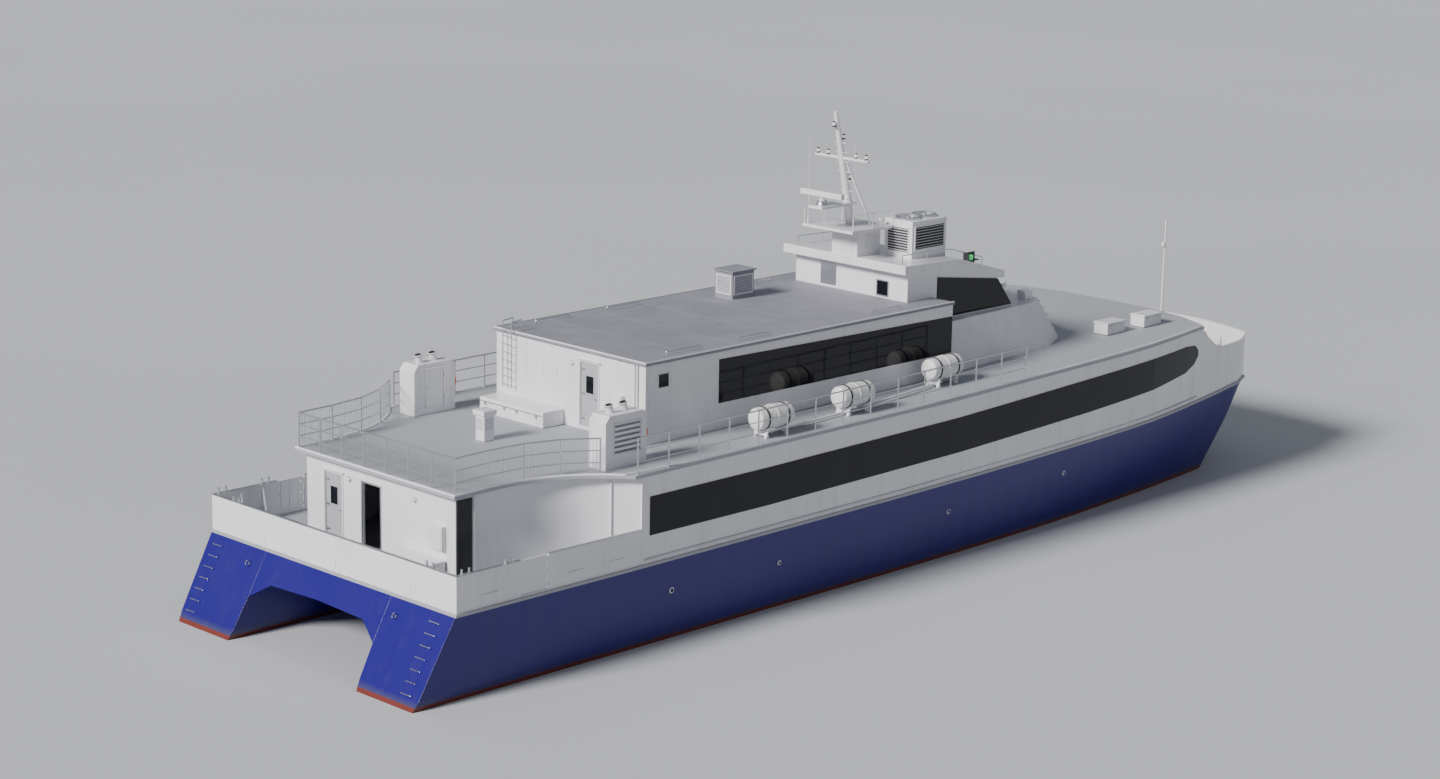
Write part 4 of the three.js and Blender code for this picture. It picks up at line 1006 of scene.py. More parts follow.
@dataclass
class AftDeck:
    """The main deck and the bulwark round its after end, with its gates."""

    top: float = 3.55
    gate: Span = (2.3, 3.3)
    house: float = 6.82
    side_stays: tuple[float, ...] = (0.95, 1.75, 3.75, 4.55, 5.35, 6.15)
    aft_stays: tuple[float, ...] = (-4.2, -2.4, -0.8, 0.8, 2.4, 4.2)
    side_flaps: tuple[float, ...] = (1.2, 4.3, 5.9)
    aft_flaps: tuple[float, ...] = (-3.3, 0.0, 3.3)
    flap: Span = (2.60, 2.86)

    def build(self, shop: Workshop) -> None:
        """Makes the deck, the bulwark with its cappings and stays, the gates and the deck gear."""
        shop.eased("main_deck", Finish.DECK, width=0.014, angle=40)
        shop.eased("aft_bulwark", Finish.WHITE, width=0.006)
        self.cap(shop)
        self.brace(shop)
        for side in Side:
            self.gate_leaf(shop, side)
        self.gear(shop)

    def cap(self, shop: Workshop) -> None:
        """Lays the rounded capping along the bulwark's top."""
        bm = bmesh.new()
        y, z = HALF_BEAM - 0.04, self.top
        section = half_round(0.105, 0.035, -0.002)
        aft, fore = self.gate[0] - 0.015, self.gate[1] + 0.018
        swept(bm, [(aft, -y, z), (0.04, -y, z), (0.04, y, z), (aft, y, z)], section)
        for side in Side:
            swept(bm, [(fore, side.value * y, z), (self.house, side.value * y, z)], section)
        shop.piece("bulwark_capping", bm, Finish.METAL)

    def brace(self, shop: Workshop) -> None:
        """Adds the stays inside the bulwark and the flaps of its freeing ports."""
        stays, flaps = bmesh.new(), bmesh.new()
        foot, head, thick = AFT_DECK, self.top - 0.12, 0.012
        low, high = self.flap
        for side in Side:
            y, s = HALF_BEAM - 0.08, side.value
            for x in self.side_stays:
                corners = ((0.004, foot), (-0.26, foot), (-0.06, head), (0.004, head))
                prism(stays, [(x, s * (y + out), z) for out, z in corners], (thick, 0, 0), 0.003)
            for x in self.side_flaps:
                inner, outer = s * (HALF_BEAM - 0.002), s * (HALF_BEAM + 0.012)
                block(flaps, (x - 0.3, inner, low), (x + 0.3, outer, high), 0.004)
                y = s * (HALF_BEAM + 0.014)
                rod(flaps, (x - 0.3, y, high), (x + 0.3, y, high), 0.010, sides=8)
        for y in self.aft_stays:
            corners = ((0.076, foot), (0.34, foot), (0.14, head), (0.076, head))
            prism(stays, [(x, y, z) for x, z in corners], (0, thick, 0), 0.003)
        for y in self.aft_flaps:
            block(flaps, (-0.014, y - 0.32, low), (0.002, y + 0.32, high), 0.004)
            rod(flaps, (-0.016, y - 0.32, high), (-0.016, y + 0.32, high), 0.010, sides=8)
        shop.piece("bulwark_stays", stays, Finish.WHITE)
        shop.piece("freeing_port_flaps", flaps, Finish.WHITE)

    def gate_leaf(self, shop: Workshop, side: Side) -> None:
        """Makes a gate leaf with stiffeners, a latch and its hinge barrels."""
        s, y = side.value, HALF_BEAM - 0.04
        body = f"side_gate_{side.word}"
        leaf = bmesh.new()
        low, high = AFT_DECK + 0.072, self.top - 0.004
        block(leaf, (self.gate[0], s * (y - 0.022), low), (self.gate[1] - 0.05, s * (y + 0.022), high), 0.010)
        for x in (2.45, 2.78, 3.10):
            block(leaf, (x - 0.02, s * (y - 0.034), 2.64), (x + 0.02, s * (y - 0.015), 3.48), 0.005)
        shop.piece(f"gate_leaf_{side.word}", leaf, Finish.WHITE, body, (f"gate_{side.word}",))
        works = bmesh.new()
        pin = self.gate[1] - 0.03
        rod(works, (pin, s * y, low + 0.002), (pin, s * y, high - 0.002), 0.014)
        for z in (2.72, 3.06, 3.40):
            rod(works, (pin, s * y, z - 0.05), (pin, s * y, z + 0.05), 0.026, sides=16)
            block(works, (3.10, s * (y - 0.026), z - 0.03), (3.26, s * (y - 0.018), z + 0.03), 0.003)
        rod(works, (2.38, s * (y - 0.022), 3.1), (2.38, s * (y - 0.055), 3.1), 0.012)
        rod(works, (2.38, s * (y - 0.055), 3.1), (2.50, s * (y - 0.055), 3.1), 0.010)
        shop.piece(f"gate_hinges_and_latch_{side.word}", works, Finish.STEEL, body)

    def gear(self, shop: Workshop) -> None:
        """Adds the hatches, a capstan, the fairleads and a locker bench by the house."""
        metal, drum, bench = bmesh.new(), bmesh.new(), bmesh.new()
        deck = AFT_DECK - SUNK
        for y in (-3.1, 3.1):
            block(metal, (0.6, y - 0.32, deck), (1.24, y + 0.32, AFT_DECK + 0.03), 0.012)
            bolts(metal, (0.92, y, AFT_DECK + 0.035), 0.27, 12, "Z")
        for side in Side:
            for x, y in ((0.35, 5.51), (1.9, 5.51), (0.04, 4.4)):
                self.fairlead(metal, x, side.value * y, x < 0.1)
        profile = [
            (0.0, 0.0), (0.0, 0.24), (0.05, 0.24), (0.07, 0.17), (0.2, 0.12), (0.34, 0.15), (0.38, 0.20),
            (0.42, 0.20), (0.44, 0.0),
        ]
        turned(drum, profile, (0.85, -1.2, deck), "Z", 32)
        block(bench, (1.30, -2.95, 2.51), (1.80, -1.15, 3.02), 0.02)
        block(bench, (1.27, -2.98, 3.02), (1.80, -1.12, 3.07), 0.018)
        for y in (-2.5, -1.6):
            block(bench, (1.288, y - 0.05, 2.80), (1.304, y + 0.05, 2.90), 0.004)
        shop.piece("deck_hatches_and_fairleads", metal, Finish.METAL)
        shop.piece("aft_capstan", drum, Finish.METAL)
        shop.piece("locker_bench", bench, Finish.WHITE)

    def fairlead(self, bm: BMesh, x: float, y: float, athwart: bool) -> None:
        """Adds a pair of rollers on the capping, one beside the other athwart or along the ship."""
        z = self.top
        block(bm, (x - 0.035, y - 0.035, z + 0.01), (x + 0.035, y + 0.035, z + 0.045), 0.006)
        for step in (-0.13, 0.13):
            px, py = (x, y + step) if athwart else (x + step, y)
            block(bm, (px - 0.04, py - 0.04, z + 0.01), (px + 0.04, py + 0.04, z + 0.05), 0.006)
            rod(bm, (px, py, z + 0.04), (px, py, z + 0.16), 0.032, 0.028, 14)
            rod(bm, (px, py, z + 0.155), (px, py, z + 0.17), 0.042, sides=14)


@dataclass
class MainCabin:
    """The main cabin: sides and curved front with one long dark strip of windows each side."""

    guard: tuple[float, ...] = (6.95, 12.0, 18.0, 22.0, 26.5, 29.0, 31.0, 32.7, 34.0)
    guard_height: float = 0.14
    guard_half: float = 0.03

    def build(self, shop: Workshop) -> None:
        """Makes the walls, the glazing and the trim round it."""
        for side in Side:
            shop.eased(f"main_cabin_side_{side.word}", Finish.WHITE, width=0.004)
            shop.eased(f"main_window_strip_{side.word}", Finish.GLASS, width=0.003, angle=50)
        shop.eased("main_cabin_front_wall", Finish.WHITE, width=0.004)
        shop.eased("front_window_strip", Finish.GLASS, width=0.003, angle=50)
        shop.eased("main_cabin_bulkhead", Finish.LINING, width=0.004)
        self.trim(shop)

    def trim(self, shop: Workshop) -> None:
        """Runs a half-round guard along the foot of the sides, over the rubbing strake."""
        bm, h = bmesh.new(), self.guard_half
        section = ((-0.008, -h), (0.012, -h), (0.026, -0.4 * h), (0.026, 0.4 * h), (0.012, h), (-0.008, h))
        for side in Side:
            path = on(DECK, [(x, (EDGE.at(x) + 0.004) * side.value) for x in self.guard], self.guard_height)
            swept(bm, path, [(side.value * -a, b) for a, b in section])
        shop.piece("side_guards", bm, Finish.METAL)


@dataclass
class AftHouse:
    """The aft house: one sweep of wall with a hinged door and a sliding door facing the stern."""

    face: float = 1.82
    half: float = 3.36
    slider_y: float = 0.35
    slider_run: float = 0.84
    slider_half: float = 0.42
    slider_height: float = 1.98
    sill: float = 0.128
    guard_bars: int = 7

    def build(self, shop: Workshop) -> None:
        """Makes the walls, the doors and what hangs on the after face."""
        shop.eased("aft_house_walls", Finish.WHITE, width=0.006, angle=35)
        HingedDoor("aft_house_door", "house_door", self.face, 2.1, AFT_DECK).build(shop)
        self.sliding_door(shop)
        for name, y in (("lobby_lamp_port", 1.35), ("lobby_lamp_starboard", -1.6)):
            bulkhead_lamp(shop, name, (self.face, y, 4.55))
        self.dress_walls(shop)

    def sliding_door(self, shop: Workshop) -> None:
        """Makes the sliding leaf with its tall window, and the track and frame on the wall."""
        shut, half, wall, body = self.slider_y, self.slider_half, self.face, "lobby_sliding_door"
        y, low = shut - self.slider_run, AFT_DECK + self.sill
        x, top = wall + 0.092, low + self.slider_height
        leaf = bmesh.new()
        block(leaf, (x, y - half, low), (x + 0.04, y + half, top), 0.008)
        wide, high = (y - 0.24, y + 0.24), (low + 0.75, low + 1.75)
        surround(leaf, (x - 0.006, x + 0.003), wide, high, 0.035, "X", 0.003)
        shop.piece("sliding_door_leaf", leaf, Finish.DOOR, body, ("sliding_door",))
        pane = bmesh.new()
        for out, bevel in ((-0.004, 0.001), (0.038, 0.002)):
            low_corner = (x + out, y - 0.245, low + 0.745)
            block(pane, low_corner, (x + out + 0.006, y + 0.245, low + 1.755), bevel, 1)
        shop.piece("sliding_door_window", pane, Finish.GLASS, body)
        pull = bmesh.new()
        bends = ((0.036, 0.9), (0.075, 0.92), (0.075, 1.16), (0.036, 1.18))
        pipe(pull, [(x + out, y - 0.34, low + up) for out, up in bends], 0.009)
        shop.piece("sliding_door_pull", pull, Finish.STEEL, body)
        works = bmesh.new()
        block(works, (x - 0.005, y - 0.48, top + 0.02), (x + 0.06, shut + 0.48, top + 0.09), 0.008)
        opening = (shut - 0.405, shut + 0.405)
        surround(works, (wall - 0.028, wall + 0.004), opening, (low - 0.006, top - 0.033), 0.05, "X")
        block(works, (wall - 0.05, shut - 0.46, low - 0.056), (wall + 0.06, shut + 0.46, low - 0.020), 0.008)
        shop.piece("sliding_door_track_and_frame", works, Finish.METAL)

    def dress_walls(self, shop: Workshop) -> None:
        """Adds dark corner guards on a dark plate, their darkness painted shade by the house's after corners,
        and drain pipes, a hose cabinet and vent grilles.
        """
        guards, drains, cabinet, grille = bmesh.new(), bmesh.new(), bmesh.new(), bmesh.new()
        for side in Side:
            s, half, face = side.value, self.half, self.face
            # the guard bars and the plate behind them are dark as painted shade along the side wall by the
            # after corner
            for i in range(self.guard_bars):
                x = face + 0.05 + i * 0.075
                block(guards, (x, s * (half - 0.004), 2.75), (x + 0.06, s * (half + 0.025), 4.85), 0.010)
            inner, outer = s * (half - 0.006), s * (half + 0.012)
            block(guards, (face + 0.03, inner, 2.72), (face + 0.59, outer, 4.88), 0.006)
            for x, y in ((2.46, half), (6.3, 4.80)):
                rod(drains, (x, s * (y + 0.045), AFT_DECK + 0.02), (x, s * (y + 0.045), 4.93), 0.028)
                for z in (2.9, 3.8, 4.6):
                    inner, outer = s * (y - SUNK), s * (y + 0.06)
                    block(drains, (x - 0.04, inner, z - 0.015), (x + 0.04, outer, z + 0.015), 0.005)
            long, high = (3.3, 3.9), (4.3, 4.7)
            surround(grille, long, (s * (half - 0.004), s * (half + 0.018)), high, 0.03, "Y", 0.004)
            slats(grille, long, across(side, half - 0.008, half + 0.014), high, 7)
        block(cabinet, (face - 0.16, -2.95, 3.35), (face + 0.003, -2.35, 4.05), 0.02)
        block(cabinet, (face - 0.168, -2.91, 3.39), (face - 0.155, -2.39, 4.01), 0.008)
        rod(cabinet, (face - 0.178, -2.44, 3.66), (face - 0.178, -2.44, 3.76), 0.010)
        shop.piece("house_corner_guards_painted_shade", guards, Finish.DARK)
        shop.piece("house_drain_pipes", drains, Finish.WHITE)
        shop.piece("hose_cabinet", cabinet, Finish.WHITE)
        shop.piece("house_vent_grilles", grille, Finish.METAL)


@dataclass
class UpperDeck:
    """The upper deck with its rails, lockers and ventilator."""

    rail_y: float = 5.45
    rail_corners: tuple[float, ...] = (6.75, 15.3, 24.0)
    margin_line: tuple[float, ...] = (9.0, 13.0, 18.0, 22.0, 26.5, 29.0, 31.0, 32.7, 34.0)
    lockers: tuple[Plan, ...] = ((31.2, 3.3), (33.0, 3.5))
    locker_doors: tuple[Span, ...] = ((0.24, 1.62), (1.68, 3.06))  # of the aft locker, which faces astern
    locker_lid: float = 5.68

    def build(self, shop: Workshop) -> None:
        """Makes the deck, its white margin, the rails and the gear on it."""
        for node in ("upper_deck_aft", "upper_deck_landing", "upper_deck"):
            shop.eased(node, Finish.DECK, width=0.012, angle=40)
        self.margin(shop)
        self.rails(shop)
        self.gear(shop)

    def margin(self, shop: Workshop) -> None:
        """Runs a white waterway bar just inside the deck's edge."""
        bm = bmesh.new()
        section = [
            (-0.03, -0.004), (0.03, -0.004), (0.03, 0.03), (0.02, 0.045), (-0.02, 0.045), (-0.03, 0.03),
        ]
        aft = [p for p in offset(house_line(10), -0.21) if abs(p[1]) < self.rail_y]
        port = [(x, EDGE.at(x) - 0.04) for x in self.margin_line]
        starboard = [(x, -y) for x, y in reversed(port)]
        swept(bm, on(UPPER, starboard + aft + port), section)
        shop.piece("upper_deck_margin", bm, Finish.WHITE)

    def rails(self, shop: Workshop) -> None:
        """Makes the guard rails in round pipe, with close uprights round the after end."""
        aft = bmesh.new()
        line = [p for p in offset(house_line(4), -0.15) if abs(p[1]) < self.rail_y - 0.2]
        Railing(baluster=0.10).run(aft, line, UPPER)
        shop.piece("rail_aft_pipework", aft, Finish.RAIL, replaces=("rail_aft",))
        for side in Side:
            bm, node = bmesh.new(), f"rail_side_{side.word}"
            Railing(spacing=1.2).run(bm, [(x, side.value * self.rail_y) for x in self.rail_corners], UPPER)
            shop.piece(f"{node}_pipework", bm, Finish.RAIL, replaces=(node,))

    def gear(self, shop: Workshop) -> None:
        """Makes the after locker and the ventilator, with doors and slats, and low lockers forward."""
        shop.eased("aft_locker", Finish.WHITE, width=0.03)
        shop.eased("deck_ventilator", Finish.WHITE, width=0.03)
        boxes, trim = bmesh.new(), bmesh.new()
        for side in Side:
            for x, y in self.lockers:
                y, z = y * side.value, UPPER.at(x)
                block(boxes, (x - 0.5, y - 0.3, z + 0.002), (x + 0.5, y + 0.3, z + 0.36), 0.03)
                block(boxes, (x - 0.52, y - 0.32, z + 0.36), (x + 0.52, y + 0.32, z + 0.43), 0.03)
                for latch in (x - 0.3, x + 0.3):
                    low = (latch - 0.03, y - 0.336, z + 0.30)
                    block(trim, low, (latch + 0.03, y - 0.298, z + 0.40), 0.006)
        z = self.locker_lid
        for y0, y1 in self.locker_doors:
            block(trim, (8.16, y0, z - 0.12), (8.205, y1, z - 0.10), 0.004)
            for y in (y0 + 0.25, y1 - 0.25):
                block(trim, (8.17, y - 0.04, z - 0.22), (8.204, y + 0.04, z - 0.12), 0.006)
        slats(trim, (5.885, 5.905), (0.24, 0.56), (5.5, 5.86), 6)
        slats(trim, (5.94, 6.26), (0.186, 0.206), (5.5, 5.86), 6)
        shop.piece("forward_lockers", boxes, Finish.WHITE)
        shop.piece("locker_catches_and_vents", trim, Finish.METAL)


@dataclass
class Exhausts:
    """The two exhaust casings on the upper deck."""

    aft: float = 6.3
    front: float = 7.9
    inner: float = 3.9
    outer: float = 4.6
    top: float = 6.75
    banks: int = 6
    bank_pitch: float = 0.15

    def build(self, shop: Workshop) -> None:
        """Makes the casings with louvres, access doors and pipe ends."""
        for side in Side:
            shop.eased(f"exhaust_casing_{side.word}", Finish.WHITE, width=0.012)
            self.dress(shop, side)

    def dress(self, shop: Workshop, side: Side) -> None:
        """Adds the louvre blades and frame outboard, the door inboard, the pipe ends and a lifebuoy."""
        s = side.value
        blades, trim, mouths, ring = bmesh.new(), bmesh.new(), bmesh.new(), bmesh.new()
        aft, front, foot = self.aft, self.front, UPPER.at(self.aft) + 0.46
        louvre = across(side, self.outer - 0.032, self.outer + 0.004)
        for i in range(self.banks):
            z = foot + i * self.bank_pitch
            slats(blades, (aft + 0.36, front - 0.26), louvre, (z + 0.004, z + 0.066), 2)
        rim = across(side, self.outer - 0.004, self.outer + 0.012)
        door = across(side, self.inner - 0.016, self.inner + 0.004)
        surround(trim, (aft + 0.34, front - 0.24), rim, (foot - 0.02, foot + 0.84), 0.045, "Y", 0.004)
        surround(trim, (aft + 0.45, aft + 1.15), door, (foot - 0.25, foot + 0.95), 0.03, "Y", 0.004)
        y = s * (self.inner - 0.024)
        for z in (foot, foot + 0.7):
            rod(trim, (aft + 1.16, y, z - 0.05), (aft + 1.16, y, z + 0.05), 0.014)
        y = s * (self.inner - 0.03)
        rod(trim, (aft + 0.5, y, foot + 0.3), (aft + 0.5, y, foot + 0.42), 0.010)
        middle = s * (self.inner + self.outer) / 2
        lean = Vector((-0.08, 0, 0.29)).normalized()
        # each pipe end is a near-black disc: soot, and painted shade for the open pipe's hollow inside
        for dx in (0.5, 1.05):
            end = Vector((self.aft + dx - 0.08, middle, self.top + 0.24))
            rod(mouths, end - lean * 0.01, end + lean * 0.006, 0.098, sides=24)
            rod(trim, end - lean * 0.05, end - lean * 0.02, 0.124, sides=24)
        lifebuoy(ring, (self.front + 0.044, middle, 6.05), "X")
        shop.piece(f"louvre_blades_{side.word}", blades, Finish.METAL)
        shop.piece(f"casing_trim_{side.word}", trim, Finish.METAL)
        shop.piece(f"exhaust_mouths_{side.word}", mouths, Finish.SOOT)
        shop.piece(f"casing_lifebuoy_{side.word}", ring, Finish.ORANGE)


@dataclass
class Stairs:
    """The stairs from the main cabin to the upper cabin."""

    foot: float = 13.2
    head: float = 9.9
    inner: float = 1.4
    outer: float = 2.3
    treads: int = 11

    def build(self, shop: Workshop) -> None:
        """Makes the flight with nosings on its treads and a handrail each side."""
        shop.eased("stairs", Finish.LINING, width=0.004)
        nosings, rails = bmesh.new(), bmesh.new()
        low, high = DECK.at(self.foot), UPPER.at(self.head)
        rise, going = (high - low) / (self.treads + 1), (self.foot - self.head) / self.treads
        for i in range(self.treads):
            x, z = self.foot - i * going, low + (i + 1) * rise
            y0, y1 = self.inner + 0.06, self.outer - 0.06
            block(nosings, (x - 0.05, y0, z - SUNK), (x + 0.006, y1, z + 0.008), 0.003)
        start, end = Vector((self.foot - 0.1, low + 1.1)), Vector((self.head + 0.5, high + 0.52))
        for y in (self.inner + 0.02, self.outer - 0.02):
            corners = ((start.x, low + 0.36), start, end, (end.x, high - 0.42))
            pipe(rails, [(x, y, z) for x, z in corners], 0.02, 10)
            for t in (0.25, 0.5, 0.75):
                x, z = start.lerp(end, t)
                rod(rails, (x, y, z - 0.85), (x, y, z), 0.014)
        shop.piece("stair_nosings", nosings, Finish.RUBBER)
        shop.piece("stair_handrails", rails, Finish.STEEL)


@dataclass
class UpperCabin:
    """The upper cabin: a long white box with one dark strip of windows each side."""

    aft: float = 9.07
    front: float = 22.8
    half: float = 3.31
    roof: float = 7.68
    door_y: float = -0.9
    window: tuple[Span, Span] = ((9.6, 10.0), (6.86, 7.26))
    ladder: Span = (2.42, 2.82)
    rungs: int = 8
    rung_pitch: float = 0.25
    seams: int = 6
    ventilator: tuple[Span, Span, float] = ((17.5, 18.5), (1.5, 2.3), 8.56)
    louvres: Span = (7.86, 8.42)
    grab_rails: tuple[float, ...] = (11.0, 14.0, 20.0)

    def build(self, shop: Workshop) -> None:
        """Makes the walls, the glazing, the roof, the door and what stands on them."""
        for side in Side:
            shop.eased(f"upper_cabin_side_{side.word}", Finish.WHITE, width=0.008)
            shop.eased(f"upper_window_strip_{side.word}", Finish.GLASS, width=0.004, angle=50)
            self.small_window(shop, side)
        for node in ("upper_cabin_aft_wall", "upper_cabin_front_wall"):
            shop.eased(node, Finish.WHITE, width=0.006)
        shop.eased("upper_cabin_roof", Finish.ROOF, width=0.03)
        HingedDoor("upper_cabin_door", "cabin_door", self.aft, self.door_y, UPPER.at(self.aft)).build(shop)
        bulkhead_lamp(shop, "cabin_lamp", (self.aft, self.door_y + 0.75, 7.15))
        self.dress_aft_wall(shop)
        self.dress_roof(shop)

    def small_window(self, shop: Workshop, side: Side) -> None:
        """Makes the small window near the after corner, with its frame."""
        pane, rim = bmesh.new(), bmesh.new()
        (x0, x1), (z0, z1) = self.window
        y = across(side, self.half - 0.025, self.half - 0.013)
        block(pane, (x0, y[0], z0), (x1, y[1], z1), 0.003)
        surround(rim, (x0, x1), across(side, self.half - 0.03, self.half + 0.012), (z0, z1), 0.035, "Y")
        shop.piece(f"small_window_{side.word}", pane, Finish.GLASS)
        shop.piece(f"small_window_frame_{side.word}", rim, Finish.METAL)

    def dress_aft_wall(self, shop: Workshop) -> None:
        """Adds the roof ladder, a pipe run, an extinguisher locker and a vent grille."""
        ladder, wall, face = bmesh.new(), bmesh.new(), self.aft
        out = face - 0.17
        bends = (
            (face - 0.005, 5.95), (out, 5.95), (out, 7.98), (face + 0.23, 8.02), (face + 0.23, self.roof),
        )
        for y in self.ladder:
            pipe(ladder, [(x, y, z) for x, z in bends], 0.018, 10)
        for i in range(self.rungs):
            z = 6.02 + i * self.rung_pitch
            rod(ladder, (out, self.ladder[0], z), (out, self.ladder[1], z), 0.012, sides=8)
        for x, y, radius in ((face - 0.04, -3.0, 0.03), (face - 0.035, -2.88, 0.018)):
            rod(wall, (x, y, 5.3), (x, y, 7.56), radius)
        block(wall, (face - 0.14, -2.45, 5.75), (face + 0.005, -2.05, 6.55), 0.02)
        block(wall, (face - 0.152, -2.42, 5.79), (face - 0.135, -2.08, 6.51), 0.006)
        wide, high = (0.55, 1.15), (6.55, 6.85)
        surround(wall, (face - 0.015, face + 0.005), wide, high, 0.03, "X", 0.004)
        slats(wall, (face - 0.018, face + 0.002), wide, high, 5)
        shop.piece("roof_ladder", ladder, Finish.STEEL)
        shop.piece("cabin_aft_fittings", wall, Finish.WHITE)

    def dress_roof(self, shop: Workshop) -> None:
        """Adds the gutter, plate seams, the ventilator's cap and grilles, and low grab rails."""
        gutter, seams, grille, grab = bmesh.new(), bmesh.new(), bmesh.new(), bmesh.new()
        edge, roof = self.half + 0.06, self.roof
        fore, aft = self.front - 0.03, self.aft - 0.06
        path = [(fore, -edge, roof), (aft, -edge, roof), (aft, edge, roof), (fore, edge, roof)]
        swept(gutter, path, [(-0.018, -0.004), (0.018, -0.004), (0.018, 0.03), (-0.018, 0.03)])
        (x0, x1), (y0, y1), top = self.ventilator
        for i in range(1, self.seams + 1):
            x = self.aft + i * (self.front - self.aft) / (self.seams + 1)
            if not x0 - 0.1 < x < x1 + 0.1:
                low = (x - 0.02, 0.05 - edge, roof - 0.003)
                block(seams, low, (x + 0.02, edge - 0.05, roof + 0.006), 0.003)
        block(seams, (x0 - 0.06, y0 - 0.06, top - 0.003), (x1 + 0.06, y1 + 0.06, top + 0.05), 0.02)
        wide, long = (y0 + 0.1, y1 - 0.1), (x0 + 0.1, x1 - 0.1)
        for x, tilt in ((x0, 0.5), (x1, -0.5)):
            surround(grille, (x - 0.012, x + 0.012), wide, self.louvres, 0.04, "X", 0.004)
            slats(grille, (x - 0.014, x + 0.014), wide, self.louvres, 9, tilt)
        for y, tilt in ((y0, -0.5), (y1, 0.5)):
            surround(grille, long, (y - 0.012, y + 0.012), self.louvres, 0.04, "Y", 0.004)
            slats(grille, long, (y - 0.014, y + 0.014), self.louvres, 9, tilt)
        for side in Side:
            for x in self.grab_rails:
                corners = ((x - 0.7, roof), (x - 0.7, roof + 0.09), (x + 0.7, roof + 0.09), (x + 0.7, roof))
                pipe(grab, [(end, side.value * 2.9, z) for end, z in corners], 0.014, 8)
        shop.piece("roof_gutter", gutter, Finish.WHITE)
        shop.piece("roof_seams_and_cap", seams, Finish.ROOF)
        shop.piece("ventilator_grilles", grille, Finish.WHITE)
        shop.piece("roof_grab_rails", grab, Finish.STEEL)


